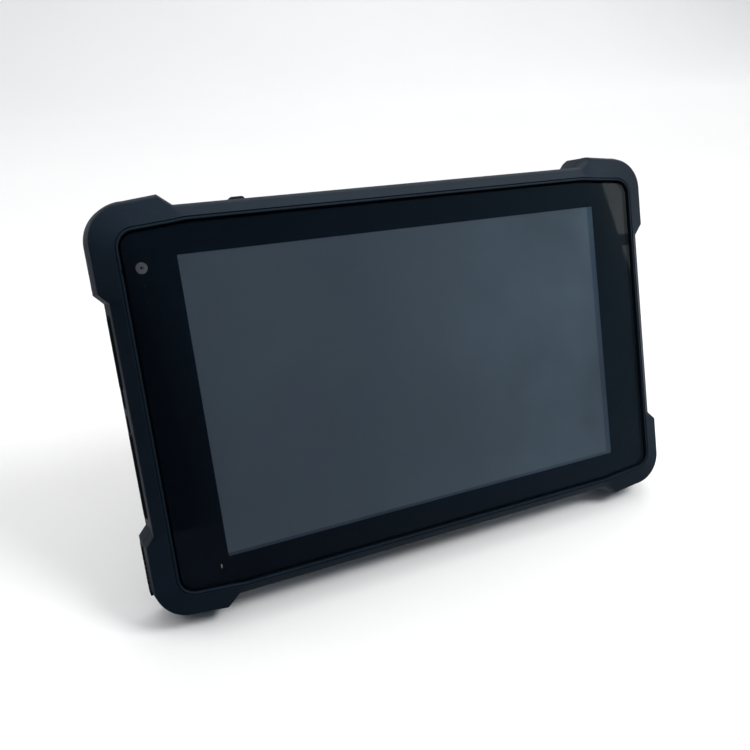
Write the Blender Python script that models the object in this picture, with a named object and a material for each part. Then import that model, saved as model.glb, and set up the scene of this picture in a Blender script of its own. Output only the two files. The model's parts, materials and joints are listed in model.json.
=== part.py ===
"""Rugged 8-inch tablet data collector, leaning back on its open kickstand. Metres, +Z up.

Every piece is modelled in the tablet's own frame and parented to the empty "tablet": x runs to the
right along the long side, y runs up the screen and z comes out of the screen, with z = 0 on the
outer face of the cover glass. The empty leans that frame back and lowers its bumpers to the floor.
"""

import math

import bmesh
import bpy
from mathutils import Vector

MM = 0.001
LEAN = math.radians(18.9)  # how far the screen leans back from upright
SET_BACK = -11.007 * MM  # moves the tablet so that the origin is under the middle of the whole
GAP = 0.15 * MM  # between pieces that touch
RUN = 0.25 * MM  # around pieces that move

# Cover glass and display
GLASS_X, GLASS_Y = 104.0 * MM, 64.4 * MM  # half sizes between the corner bumpers
GLASS_THICK = 1.8 * MM
GLASS_GAP = 0.4 * MM  # groove between the glass and the lip round it
PANEL_X, PANEL_Y = 92.2 * MM, 57.3 * MM
PANEL_FRONT, PANEL_BACK = -2.3 * MM, -5.2 * MM

# Casing, half sizes at mid-side, and how far the corner bumpers stand out from there
SIDE_X, SIDE_Y = 111.3 * MM, 71.3 * MM
BUMP_X, BUMP_Y = 3.1 * MM, 3.9 * MM
FLARE = 1.25 * MM  # a long-side bumper edge drops this much towards the corner
STEP_X = (84.5 * MM, 89.3 * MM)  # a bumper starts and is fully out, along x
STEP_Y = (40.8 * MM, 44.2 * MM)  # and along y
CORNER_SEGMENTS = 8
CAVITY_X, CAVITY_Y, CAVITY_R = 106.5 * MM, 67.3 * MM, 8.5 * MM
LIP_TOP = 0.8 * MM
LEDGE_TOP, LEDGE_BACK = -2.9 * MM, -4.4 * MM
FRAME_BACK, SHELL_FRONT = -8.8 * MM, -9.3 * MM  # the two halves meet here, over the seal
WALL_BACK = -18.5 * MM  # the side walls end and the rear chamfer starts
BACK = -21.5 * MM
SHELL_FLOOR = -19.3 * MM

# Kickstand, folded
HINGE_Y, HINGE_Z = 10.0 * MM, -19.6 * MM
STAND_HALF = 47.0 * MM
STAND_BACK, STAND_FRONT = -21.3 * MM, -18.5 * MM
KNUCKLE_R, PIN_R = 1.7 * MM, 0.8 * MM
STAND_END = -68.6 * MM
FOOT_R = 1.4 * MM
FOOT_CENTRE = (-70.6 * MM, -19.9 * MM)

# Battery bay in the back
COVER_X, COVER_Y = 66.0 * MM, (17.0 * MM, 63.0 * MM)
BAY_X, BAY_Y = 58.5 * MM, (24.0 * MM, 56.0 * MM)
COVER_LEDGE = -18.9 * MM


def four_ways(x, y):
    return [(sx * x * MM, sy * y * MM) for sx in (-1, 1) for sy in (-1, 1)]


CASE_SCREWS = four_ways(100.5, 59.5) + four_ways(75.0, 62.8)
STRAP_INSERTS = four_ways(76.0, 46.0)
CAMERA_AT = (-89.0 * MM, 50.0 * MM)
FLASH_AT = (-89.0 * MM, 37.5 * MM)
FRONT_CAMERA_AT = (-98.4 * MM, 51.1 * MM)
LIGHT_SENSOR_Y = (38.2 * MM, 46.6 * MM)
SPEAKER_AT = (80.0 * MM, -14.0 * MM)

# Pieces in the side walls
KEY_Z = -13.6 * MM  # centre of the buttons and ports, front to back
POWER_X = -60.8 * MM
ROCKER_Y, FUNCTION_Y = 12.0 * MM, -14.0 * MM
PORT_Z = (-17.1 * MM, -10.9 * MM)
UPPER_COVER_Y = (11.0 * MM, 36.2 * MM)
LOWER_COVER_Y = (-36.5 * MM, -5.5 * MM)
POCKET_X = -109.2 * MM  # floor of the port pockets
COVER_OUTER, COVER_INNER = -111.9 * MM, -110.2 * MM
TRUNNION_R = 0.55 * MM
TRUNNION_X = -111.0 * MM  # the covers swing on these, at their outer ends
TRUNNION_Y = (UPPER_COVER_Y[1] - 1.0 * MM, LOWER_COVER_Y[0] + 1.0 * MM)
ANCHOR_Y = (-65.0 * MM, -46.0 * MM)


def clear_scene():
    for obj in list(bpy.data.objects):
        bpy.data.objects.remove(obj)


def finish_material(name, colour, roughness, metallic=0.0, alpha=1.0):
    material = bpy.data.materials.new(name)
    material.use_nodes = True
    shader = material.node_tree.nodes["Principled BSDF"]
    shader.inputs["Base Color"].default_value = (*colour, 1.0)
    shader.inputs["Roughness"].default_value = roughness
    shader.inputs["Metallic"].default_value = metallic
    shader.inputs["Alpha"].default_value = alpha
    return material


def make_materials():
    return {
        "casing": finish_material("casing", (0.018, 0.020, 0.023), 0.55),
        "glass": finish_material("glass", (0.008, 0.011, 0.015), 0.06),
        "display": finish_material("display", (0.045, 0.060, 0.072), 0.35),
        "seal": finish_material("seal", (0.03, 0.03, 0.03), 0.8),
        "rubber": finish_material("rubber", (0.03, 0.031, 0.033), 0.75),
        "steel": finish_material("steel", (0.55, 0.55, 0.56), 0.3, 1.0),
        "dark_metal": finish_material("dark_metal", (0.06, 0.06, 0.065), 0.4, 0.8),
        "brass": finish_material("brass", (0.72, 0.53, 0.25), 0.35, 1.0),
        "board": finish_material("board", (0.02, 0.12, 0.06), 0.5),
        "alloy": finish_material("alloy", (0.6, 0.61, 0.62), 0.4, 1.0),
        "battery": finish_material("battery", (0.1, 0.1, 0.11), 0.5),
        "lens": finish_material("lens", (0.02, 0.02, 0.03), 0.05),
        "lamp": finish_material("lamp", (0.8, 0.78, 0.6), 0.3),
        "camera_ring": finish_material("camera_ring", (0.16, 0.17, 0.18), 0.4),
        "ceramic": finish_material("ceramic", (0.7, 0.66, 0.58), 0.6),
        "flex": finish_material("flex", (0.55, 0.25, 0.05), 0.4),
    }


# ---- Shapes ------------------------------------------------------------------------------------


def mesh_object(name, bm, material=None, parent=None):
    """A named object from bm, its faces turned outwards, shaded smooth except at corners."""
    bmesh.ops.recalc_face_normals(bm, faces=bm.faces)
    mesh = bpy.data.meshes.new(name)
    bm.to_mesh(mesh)
    bm.free()
    mesh.shade_smooth()
    mesh.set_sharp_from_angle(angle=math.radians(30))
    if material is not None:
        mesh.materials.append(material)
    obj = bpy.data.objects.new(name, mesh)
    bpy.context.scene.collection.objects.link(obj)
    obj.parent = parent or bpy.data.objects["tablet"]
    return obj


def quarter_outline(half_x, half_y, radius, z, bump, flare, z_bump, shift):
    """The top right quarter of one outline of the casing, anticlockwise."""
    corner_x, corner_y = half_x + bump[0], half_y + bump[1] - flare
    quarter = [(half_x, STEP_Y[0] - shift, z), (corner_x, STEP_Y[1] - shift, z_bump)]
    for i in range(CORNER_SEGMENTS + 1):
        turn = math.pi / 2 * i / CORNER_SEGMENTS
        x = corner_x - radius + radius * math.cos(turn)
        y = corner_y - radius + radius * math.sin(turn)
        quarter.append((x, y, z_bump))
    return quarter + [(STEP_X[1] - shift, half_y + bump[1], z_bump), (STEP_X[0] - shift, half_y, z)]


def level(half_x, half_y, radius, z, bump=(0, 0), flare=0.0, z_bump=None, shift=0.0, low_flare=None):
    """One closed outline of the casing as points, anticlockwise, the same count at every level.

    bump is how far the corner bumpers stand out, flare how far their long-side edge falls away
    towards the corner (low_flare at the bottom edge, if that differs), z_bump their own height,
    and shift moves their steps towards mid-side.
    """
    z_bump = z if z_bump is None else z_bump
    low_flare = flare if low_flare is None else low_flare
    above = quarter_outline(half_x, half_y, radius, z, bump, flare, z_bump, shift)
    below = quarter_outline(half_x, half_y, radius, z, bump, low_flare, z_bump, shift)
    across = [(-x, y, h) for x, y, h in reversed(above)]
    opposite = [(-x, -y, h) for x, y, h in below]
    under = [(x, -y, h) for x, y, h in reversed(below)]
    return [Vector(p) for p in above + across + opposite + under]


def loft(levels, ring):
    """A bmesh skinned over the levels in order: joined end to end if ring, else capped."""
    bm = bmesh.new()
    rows = [[bm.verts.new(p) for p in points] for points in levels]
    count = len(rows[0])
    pairs = list(zip(rows, rows[1:] + rows[:1])) if ring else list(zip(rows, rows[1:]))
    for low, high in pairs:
        for i in range(count):
            j = (i + 1) % count
            bm.faces.new((low[i], low[j], high[j], high[i]))
    if not ring:
        bm.faces.new(rows[0])
        bm.faces.new(rows[-1])
    return bm


def rounded(centre, half, radius, segments=3):
    """Points of a rectangle with round corners, in its own two axes."""
    points = []
    for corner, (sx, sy) in enumerate(((1, 1), (-1, 1), (-1, -1), (1, -1))):
        for i in range(segments + 1):
            turn = math.pi / 2 * (corner + i / segments)
            points.append(
                (
                    centre[0] + sx * (half[0] - radius) + radius * math.cos(turn),
                    centre[1] + sy * (half[1] - radius) + radius * math.sin(turn),
                )
            )
    return points


def circle(centre, radius, segments=16):
    """Points of a regular polygon whose corners lie on the circle."""
    turns = [2 * math.pi * (i + 0.5) / segments for i in range(segments)]
    return [(centre[0] + radius * math.cos(t), centre[1] + radius * math.sin(t)) for t in turns]


def add_prism(bm, points, low, high, axis="z"):
    """Adds a prism to bm. points are in the two other axes, in x, y, z order."""
    order = {"z": (0, 1, 2), "y": (0, 2, 1), "x": (2, 0, 1)}[axis]
    ends = []
    for height in (low, high):
        row = []
        for u, v in points:
            flat = (u, v, height)
            row.append(bm.verts.new([flat[k] for k in order]))
        ends.append(row)
    for i in range(len(points)):
        j = (i + 1) % len(points)
        bm.faces.new((ends[0][i], ends[0][j], ends[1][j], ends[1][i]))
    bm.faces.new(ends[0])
    bm.faces.new(ends[1])
    return bm


def prism(points, low, high, axis="z"):
    return add_prism(bmesh.new(), points, low, high, axis)


def block(x, y, z, bm=None):
    """A box between the two numbers given on each axis."""
    points = [(x[0], y[0]), (x[1], y[0]), (x[1], y[1]), (x[0], y[1])]
    return add_prism(bm or bmesh.new(), points, z[0], z[1])


def frame_of(outer, inner, low, high):
    """A flat ring: the outline outer with the outline inner, of as many points, left out."""
    rows = ((outer, low), (outer, high), (inner, high), (inner, low))
    return loft([[Vector((*p, h)) for p in points] for points, h in rows], True)


def shape(target, bm, operation, name):
    """Cuts bm from target, or joins it to target, through a hidden helper object."""
    helper = mesh_object(name, bm, parent=target.parent)
    helper.hide_render = True
    helper.display_type = "WIRE"
    modifier = target.modifiers.new(name, "BOOLEAN")
    modifier.operation = operation
    modifier.object = helper
    modifier.solver = "EXACT"
    modifier.use_self = True  # a helper may hold shapes that cross


def cut(target, bm, name):
    shape(target, bm, "DIFFERENCE", "cut_" + name)


def join(target, bm, name):
    shape(target, bm, "UNION", "join_" + name)


# ---- Casing ------------------------------------------------------------------------------------


def glass_level(grow, z, radius=5.2 * MM):
    """The glass outline grown by grow. Its long edges draw in towards the corners."""
    draw_in = (0, -0.55 * MM)
    return level(GLASS_X + grow, GLASS_Y + grow, radius + grow, z, draw_in, 1.0 * MM, shift=2.5 * MM)


def front_frame(mats):
    """Bezel with its four corner bumpers: a lip round the glass, a sloping face and side walls."""
    bump = (BUMP_X, BUMP_Y)
    levels = [
        level(CAVITY_X, CAVITY_Y, CAVITY_R, FRAME_BACK),
        level(CAVITY_X, CAVITY_Y, CAVITY_R, LEDGE_BACK),
        level(PANEL_X + 0.8 * MM, PANEL_Y + 0.8 * MM, 1.5 * MM, LEDGE_BACK),
        level(PANEL_X + 0.8 * MM, PANEL_Y + 0.8 * MM, 1.5 * MM, LEDGE_TOP),
        glass_level(GLASS_GAP, LEDGE_TOP),
        glass_level(GLASS_GAP, 0.15 * MM),
        glass_level(GLASS_GAP + 0.55 * MM, LIP_TOP),
        glass_level(GLASS_GAP + 1.25 * MM, LIP_TOP),
        glass_level(GLASS_GAP + 1.45 * MM, LIP_TOP - 0.3 * MM),
        glass_level(GLASS_GAP + 1.75 * MM, LIP_TOP - 0.1 * MM),
        level(110.2 * MM, 69.9 * MM, 12.4 * MM, -2.9 * MM, bump, FLARE, -2.1 * MM),
        level(110.7 * MM, 71.1 * MM, 13.2 * MM, -5.0 * MM, bump, FLARE),
        level(SIDE_X - 0.4 * MM, SIDE_Y, 13.4 * MM, FRAME_BACK, (BUMP_X + 0.3 * MM, BUMP_Y), FLARE),
    ]
    frame = mesh_object("front_frame", loft(levels, True), mats["casing"])
    posts, holes = bmesh.new(), bmesh.new()
    for at in CASE_SCREWS:
        add_prism(posts, circle(at, 3.3 * MM, 12), LEDGE_BACK - 0.2 * MM + 1 * MM, FRAME_BACK)
        add_prism(holes, circle(at, 1.4 * MM, 10), -5.4 * MM, FRAME_BACK - 1 * MM)
    join(frame, posts, "frame_posts")
    cut(frame, holes, "frame_screw_holes")
    notch = block((-105.2 * MM, -104.05 * MM), (50.3 * MM, 51.2 * MM), (-1.6 * MM, LIP_TOP + 1 * MM))
    cut(frame, notch, "microphone_notch")


def rear_shell(mats):
    """Rear half of the casing: bumpers, side walls and back, with every pocket and hole in it."""
    bump = (BUMP_X, BUMP_Y)
    groove = (1.4 * MM, 2.8 * MM, SHELL_FRONT - 1.2 * MM)
    foot = SIDE_Y + 0.6 * MM + BUMP_Y  # the rear bottom facet of the bumpers lies flat on the floor
    rise = foot + (BACK - WALL_BACK) * math.tan(LEAN) - 69.5 * MM
    levels = [
        level(CAVITY_X - 0.5 * MM, CAVITY_Y - 0.5 * MM, CAVITY_R, SHELL_FLOOR),
        level(CAVITY_X, CAVITY_Y, CAVITY_R, SHELL_FRONT),
        level(CAVITY_X + groove[0], CAVITY_Y + groove[0], CAVITY_R + groove[0], SHELL_FRONT),
        level(CAVITY_X + groove[0], CAVITY_Y + groove[0], CAVITY_R + groove[0], groove[2]),
        level(CAVITY_X + groove[1], CAVITY_Y + groove[1], CAVITY_R + groove[1], groove[2]),
        level(CAVITY_X + groove[1], CAVITY_Y + groove[1], CAVITY_R + groove[1], SHELL_FRONT),
        level(SIDE_X, SIDE_Y, 13.4 * MM, SHELL_FRONT, bump, FLARE),
        level(SIDE_X + 0.5 * MM, SIDE_Y + 0.6 * MM, 13.8 * MM, WALL_BACK, bump, FLARE, low_flare=0),
        level(109.4 * MM, 69.5 * MM, 12.8 * MM, BACK, (3.0 * MM, rise), FLARE, low_flare=0),
    ]
    shell = mesh_object("rear_shell", loft(levels, False), mats["casing"])
    inside = bmesh.new()
    block((-51 * MM, 51 * MM), (-67.1 * MM, 15 * MM), (-16.1 * MM, SHELL_FLOOR - 0.5 * MM), inside)
    join(shell, inside, "stand_well")
    bay = prism(rounded((0, 40 * MM), (69 * MM, 24.6 * MM), 3 * MM), -16.9 * MM, SHELL_FLOOR - 0.5 * MM)
    join(shell, bay, "bay_rim")
    posts = bmesh.new()
    for at in CASE_SCREWS:
        add_prism(posts, circle(at, 3.3 * MM, 12), SHELL_FRONT, SHELL_FLOOR - 0.5 * MM)
    for at in STRAP_INSERTS:
        add_prism(posts, circle(at, 5.2 * MM, 14), -14.6 * MM, SHELL_FLOOR - 0.5 * MM)
    join(shell, posts, "shell_posts")
    cut(shell, stand_recess(), "stand_recess")
    cover = rounded((0, sum(COVER_Y) / 2), (COVER_X, (COVER_Y[1] - COVER_Y[0]) / 2), 3 * MM)
    cut(shell, prism(cover, BACK - 1 * MM, COVER_LEDGE), "cover_recess")
    cut(shell, rear_holes(), "rear_holes")
    cut(shell, counterbores(), "counterbores")
    cut(shell, side_pockets(), "side_pockets")
    cut(shell, side_holes(), "side_holes")


def stand_recess():
    """The kickstand's bed, open at the bottom edge, with a round trough for its knuckle."""
    points = [
        (-80 * MM, BACK - 1 * MM),
        (HINGE_Y + 2.2 * MM, BACK - 1 * MM),
        (HINGE_Y + 2.2 * MM, HINGE_Z),
        (HINGE_Y + 1.6 * MM, HINGE_Z + 1.6 * MM),
        (HINGE_Y, HINGE_Z + 2.2 * MM),
        (HINGE_Y - 3 * MM, HINGE_Z + 2.2 * MM),
        (HINGE_Y - 4 * MM, STAND_FRONT + RUN),
        (-80 * MM, STAND_FRONT + RUN),
    ]
    bm = prism(points, -STAND_HALF - 0.4 * MM, STAND_HALF + 0.4 * MM, "x")
    for side in (-1, 1):
        ends = sorted((side * 40 * MM, side * 54.2 * MM))
        add_prism(bm, circle((HINGE_Y, HINGE_Z), PIN_R + 0.1 * MM, 10), *ends, "x")
    return bm


def rear_holes():
    """Everything that goes right through the back."""
    bay = rounded((0, sum(BAY_Y) / 2), (BAY_X, (BAY_Y[1] - BAY_Y[0]) / 2), 2 * MM)
    bm = prism(bay, BACK - 1 * MM, -10 * MM)
    for at in CASE_SCREWS:
        add_prism(bm, circle(at, 1.5 * MM, 10), BACK - 1 * MM, SHELL_FRONT + 1 * MM)
    for at in cover_screw_places():
        add_prism(bm, circle(at, 1.1 * MM, 10), BACK - 0.5 * MM, -16 * MM)
    add_prism(bm, circle(CAMERA_AT, 3.6 * MM), BACK - 1 * MM, -17 * MM)
    add_prism(bm, circle(FLASH_AT, 1.6 * MM, 12), BACK - 1 * MM, -17 * MM)
    add_prism(bm, rounded(SPEAKER_AT, (8.5 * MM, 2.5 * MM), 1.5 * MM), BACK - 1 * MM, -17 * MM)
    return bm


def counterbores():
    """The wider, blind part of each hole in the back."""
    bm = bmesh.new()
    for at in CASE_SCREWS:
        add_prism(bm, circle(at, 2.7 * MM), BACK - 1 * MM, -19.4 * MM)
    for at in STRAP_INSERTS:
        add_prism(bm, circle(at, 3.2 * MM), BACK - 1 * MM, -16.2 * MM)
    add_prism(bm, circle(CAMERA_AT, 6.0 * MM, 24), BACK - 1 * MM, BACK + 1.0 * MM)
    add_prism(bm, circle(FLASH_AT, 2.6 * MM), BACK - 1 * MM, BACK + 0.8 * MM)
    add_prism(bm, rounded(SPEAKER_AT, (11 * MM, 4 * MM), 2 * MM), BACK - 1 * MM, BACK + 0.9 * MM)
    return bm


def cover_screw_places():
    return [(sx * 62.0 * MM, y) for sx in (-1, 1) for y in (COVER_Y[0] + 4 * MM, COVER_Y[1] - 4 * MM)]


def side_pockets():
    """Port pockets and their finger notches at the left, the strap anchor's pocket and the dock's."""
    bm = bmesh.new()
    out = -130 * MM
    swing = 0.55 * MM  # room beyond a cover's hinged end for its corners to turn
    upper = (UPPER_COVER_Y[0] - RUN, UPPER_COVER_Y[1] + swing)
    lower = (LOWER_COVER_Y[0] - swing, LOWER_COVER_Y[1] + RUN)
    for span in (upper, lower):
        block((out, POCKET_X), span, (PORT_Z[0] - RUN, PORT_Z[1] + RUN), bm)
    upper_notch = (UPPER_COVER_Y[0] - 7.5 * MM, UPPER_COVER_Y[0] - RUN / 2)
    lower_notch = (LOWER_COVER_Y[1] + RUN / 2, LOWER_COVER_Y[1] + 6.1 * MM)
    for span in (upper_notch, lower_notch):
        block((out, -110.3 * MM), span, (PORT_Z[0] + 0.8 * MM, PORT_Z[1] - 0.8 * MM), bm)
    for y in TRUNNION_Y:
        socket = circle((TRUNNION_X, y), TRUNNION_R + 0.2 * MM, 10)
        add_prism(bm, socket, PORT_Z[0] - 1.05 * MM, PORT_Z[1] + 0.95 * MM)
    block((out, -112.6 * MM), (ANCHOR_Y[0] - GAP, ANCHOR_Y[1] + GAP), (-17.65 * MM, -10.45 * MM), bm)
    points = rounded((0, KEY_Z), (19.3 * MM, 2.9 * MM), 1.5 * MM)
    add_prism(bm, points, -80 * MM, -70.2 * MM, "y")
    return bm


def port_places():
    """name: (centre along y, half length, half height) of each port behind the covers."""
    return {
        "micro_hdmi_port": (29.0 * MM, 3.6 * MM, 1.7 * MM),
        "usb_c_port_upper": (17.9 * MM, 4.6 * MM, 1.75 * MM),
        "usb_c_port_lower": (-12.2 * MM, 4.6 * MM, 1.75 * MM),
        "audio_jack": (-21.6 * MM, 2.6 * MM, 2.6 * MM),
        "card_slot": (-30.5 * MM, 5.4 * MM, 1.3 * MM),
    }


def side_holes():
    """Holes through the side walls for the buttons, the ports and the dock contacts."""
    bm = bmesh.new()
    for centre, half, tall in port_places().values():
        radius = min(tall - 0.1 * MM, 1.5 * MM)
        points = rounded((centre, KEY_Z), (half + GAP, tall + GAP), radius)
        add_prism(bm, points, -110 * MM, -100 * MM, "x")
    add_prism(bm, rounded((POWER_X, KEY_Z), (3.1 * MM, 1.85 * MM), 0.45 * MM), 60 * MM, 80 * MM, "y")
    for centre, half in ((ROCKER_Y, 11 * MM), (FUNCTION_Y, 4.5 * MM)):
        points = rounded((centre, KEY_Z), (half + 0.3 * MM, 1.9 * MM), 1.5 * MM)
        add_prism(bm, points, 100 * MM, 120 * MM, "x")
    add_prism(bm, rounded((0, KEY_Z), (16.2 * MM, 1.9 * MM), 1 * MM), -75 * MM, -60 * MM, "y")
    return bm


def shell_seal(mats):
    """Rubber cord seal in the groove between the two halves."""
    low, high = SHELL_FRONT - 1.05 * MM, FRAME_BACK - GAP
    inner, outer = 1.55 * MM, 2.65 * MM
    rows = ((inner, low), (outer, low), (outer, high), (inner, high))
    levels = [level(CAVITY_X + g, CAVITY_Y + g, CAVITY_R + g, z) for g, z in rows]
    mesh_object("shell_seal", loft(levels, True), mats["seal"])


# ---- Front: glass, display, camera --------------------------------------------------------------


def glass_and_display(mats):
    glass = [glass_level(0, -GLASS_THICK), glass_level(0, -0.25 * MM), glass_level(-0.25 * MM, 0)]
    mesh_object("cover_glass", loft(glass, False), mats["glass"])
    gasket_z = (LEDGE_TOP + GAP, -GLASS_THICK - GAP)
    rows = ((-0.6 * MM, gasket_z[0]), (-0.6 * MM, gasket_z[1]))
    outer = [glass_level(g, z) for g, z in rows]
    inner = [level(PANEL_X + 1.4 * MM, PANEL_Y + 1.4 * MM, 1.5 * MM, z) for z in reversed(gasket_z)]
    mesh_object("glass_gasket", loft(outer + inner, True), mats["seal"])
    panel = prism(rounded((0, 0), (PANEL_X, PANEL_Y), 1 * MM, 1), PANEL_BACK, PANEL_FRONT)
    mesh_object("display_panel", panel, mats["display"])
    plate = prism(rounded((0, 0), (96.3 * MM, 58.6 * MM), 3 * MM), -6.8 * MM, -5.5 * MM)
    tray = mesh_object("display_tray", plate, mats["alloy"])
    slot = rounded((-70 * MM, -30 * MM), (12 * MM, 4 * MM), 2 * MM)
    cut(tray, prism(slot, -8 * MM, -4 * MM), "flex_slot")
    ribbon = [(-32.2, -5.35), (-32.2, -5.75), (-29.2, -5.75), (-29.2, -7.4), (-31.2, -7.4), (-31.2, -7.85)]
    ribbon += [(-28.6, -7.85), (-28.6, -5.35)]
    points = [(y * MM, z * MM) for y, z in ribbon]
    mesh_object("display_flex", prism(points, -79 * MM, -61 * MM, "x"), mats["flex"])
    camera = circle(FRONT_CAMERA_AT, 2.3 * MM)
    body = prism(camera, -2.5 * MM, -GLASS_THICK - GAP)
    lens = mesh_object("front_camera", body, mats["camera_ring"])
    x, y = FRONT_CAMERA_AT
    wide, tall = (x - 2.9 * MM, x + 2.9 * MM), (y - 2.9 * MM, y + 2.9 * MM)
    join(lens, block(wide, tall, (-5.2 * MM, -2.4 * MM)), "front_camera_block")
    sensor = block((x - 1.8 * MM, x + 1.8 * MM), LIGHT_SENSOR_Y, (-3.6 * MM, -2.4 * MM))
    sensor = mesh_object("light_sensor", sensor, mats["dark_metal"])
    eyes = bmesh.new()
    for y in (LIGHT_SENSOR_Y[0] + 1.6 * MM, LIGHT_SENSOR_Y[1] - 1.6 * MM):
        add_prism(eyes, circle((x, y), 0.9 * MM, 12), -2.6 * MM, -GLASS_THICK - GAP)
    join(sensor, eyes, "sensor_eyes")


def front_well():
    """Room for the front camera and the light sensor in the ledge and the gasket beside them."""
    x, y = FRONT_CAMERA_AT
    reach = 3.2 * MM
    depth = (-9 * MM, -1.9 * MM)
    return block((x - reach, x + reach), (LIGHT_SENSOR_Y[0] - 0.4 * MM, y + reach), depth)


# ---- Inside -------------------------------------------------------------------------------------


def inside(mats):
    board = block((-92 * MM, 92 * MM), (-57.5 * MM, 14 * MM), (-9.2 * MM, -8.0 * MM))
    mesh_object("mainboard", board, mats["board"])
    shields = (("processor_shield", (-40, 5), (-20, 10)), ("radio_shield", (20, 60), (-22, 6)))
    for name, x, y in shields:
        can = block([v * MM for v in x], [v * MM for v in y], (-11.6 * MM, -9.35 * MM))
        mesh_object(name, can, mats["alloy"])
    pack = prism(rounded((0, 40 * MM), (58 * MM, 15.6 * MM), 2 * MM, 2), -18.7 * MM, -8.0 * MM)
    mesh_object("battery_pack", pack, mats["battery"])
    antenna = block((70 * MM, 88 * MM), (34 * MM, 52 * MM), (-12.0 * MM, -8.0 * MM))
    mesh_object("gnss_antenna", antenna, mats["ceramic"])
    motor = prism(circle((-76 * MM, 26 * MM), 5 * MM), -10.8 * MM, -8.0 * MM)
    mesh_object("vibration_motor", motor, mats["steel"])
    x, y = SPEAKER_AT
    speaker = prism(rounded(SPEAKER_AT, (10.5 * MM, 7 * MM), 2 * MM), SHELL_FLOOR + GAP, -14.5 * MM)
    mesh_object("speaker", speaker, mats["dark_metal"])
    mesh = prism(rounded(SPEAKER_AT, (10.8 * MM, 3.8 * MM), 1.9 * MM), BACK + 0.1 * MM, BACK + 0.75 * MM)
    mesh_object("speaker_grille", mesh, mats["dark_metal"])
    port_board = block((-105.3 * MM, -94 * MM), (-36 * MM, 38 * MM), (-10.7 * MM, -9.9 * MM))
    mesh_object("port_board", port_board, mats["board"])


def ports(mats):
    """Each port is a metal or plastic shell with its own mouth, set in the pocket's floor."""
    for name, (centre, half, tall) in port_places().items():
        steel = "dark_metal" if name in ("audio_jack", "card_slot") else "steel"
        radius = min(tall - 0.1 * MM, 1.5 * MM)
        body = prism(rounded((centre, KEY_Z), (half, tall), radius), POCKET_X, -101.5 * MM, "x")
        port = mesh_object(name, body, mats[steel])
        if name == "audio_jack":
            mouth = circle((centre, KEY_Z), 1.75 * MM, 12)
        else:
            mouth = rounded((centre, KEY_Z), (half - 0.5 * MM, tall - 0.5 * MM), radius - 0.45 * MM)
        cut(port, prism(mouth, -112 * MM, -103 * MM, "x"), name + "_mouth")
        if name.startswith("usb"):
            width, thick = (centre - 3.3 * MM, centre + 3.3 * MM), (KEY_Z - 0.35 * MM, KEY_Z + 0.35 * MM)
            join(port, block((-109.5 * MM, -102 * MM), width, thick), name + "_tongue")


# ---- Side wall pieces ---------------------------------------------------------------------------


def port_cover(name, span, pad_places, mats):
    """Rubber cover, flush in its pocket, with a raised pad over each port and two trunnions."""
    outer, inner = COVER_OUTER, COVER_INNER
    points = rounded(
        ((span[0] + span[1]) / 2, sum(PORT_Z) / 2),
        ((span[1] - span[0]) / 2, (PORT_Z[1] - PORT_Z[0]) / 2),
        0.9 * MM,
        2,
    )
    cover = mesh_object(name, prism(points, outer, inner, "x"), mats["rubber"])
    pads = bmesh.new()
    for centre, half, tall in pad_places:
        low, high = KEY_Z - tall + 0.5 * MM, KEY_Z + tall - 0.5 * MM
        width = (centre - half + 0.6 * MM, centre + half - 0.6 * MM)
        block((inner - 0.3 * MM, inner + 0.6 * MM), width, (low, high), pads)
    hinge_y = TRUNNION_Y[0] if "upper" in name else TRUNNION_Y[1]
    trunnion = circle((TRUNNION_X, hinge_y), TRUNNION_R, 10)
    add_prism(pads, trunnion, PORT_Z[0] - 0.8 * MM, PORT_Z[1] + 0.7 * MM)
    join(cover, pads, name + "_pads")


def side_pieces(mats):
    places = port_places()
    upper = [places[name] for name in ("micro_hdmi_port", "usb_c_port_upper")]
    lower = [places[name] for name in ("usb_c_port_lower", "audio_jack", "card_slot")]
    port_cover("upper_port_cover", UPPER_COVER_Y, upper, mats)
    port_cover("lower_port_cover", LOWER_COVER_Y, lower, mats)
    power_button(mats)
    side_keys(mats)
    strap_anchor(mats)
    dock_connector(mats)


def power_button(mats):
    """Button proud of the top wall, its ends bevelled, with a flange that keeps it in."""
    half, top = 2.85 * MM, 72.7 * MM
    outline = [
        (POWER_X - half, 65.6 * MM),
        (POWER_X + half, 65.6 * MM),
        (POWER_X + half, top - 0.6 * MM),
        (POWER_X + half - 0.7 * MM, top),
        (POWER_X - half + 0.7 * MM, top),
        (POWER_X - half, top - 0.6 * MM),
    ]
    button = mesh_object("power_button", prism(outline, KEY_Z - 1.6 * MM, KEY_Z + 1.6 * MM), mats["rubber"])
    across, deep = (POWER_X - 4.2 * MM, POWER_X + 4.2 * MM), (KEY_Z - 2.5 * MM, KEY_Z + 2.5 * MM)
    join(button, block(across, (65.4 * MM, 66.6 * MM), deep), "power_flange")
    across, deep = (POWER_X - 3 * MM, POWER_X + 3 * MM), (KEY_Z - 2 * MM, KEY_Z + 2 * MM)
    mesh_object("power_switch", block(across, (61.6 * MM, 64.7 * MM), deep), mats["dark_metal"])


def side_keys(mats):
    """Volume rocker and function key in the right wall, and the switch strip behind them."""
    outer = 112.0 * MM
    keys = (("volume_rocker", ROCKER_Y, 10.7 * MM), ("function_key", FUNCTION_Y, 4.2 * MM))
    for name, centre, half in keys:
        points = rounded((centre, KEY_Z), (half, 1.6 * MM), 1.3 * MM)
        key = mesh_object(name, prism(points, 105.2 * MM, outer, "x"), mats["rubber"])
        long, deep = (centre - half - 1 * MM, centre + half + 1 * MM), (KEY_Z - 2.5 * MM, KEY_Z + 2.5 * MM)
        join(key, block((104.6 * MM, 105.6 * MM), long, deep), name + "_flange")
    strip = block((102.2 * MM, 103.6 * MM), (-22 * MM, 26 * MM), (KEY_Z - 2.6 * MM, KEY_Z + 2.6 * MM))
    mesh_object("side_key_board", strip, mats["board"])


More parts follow.
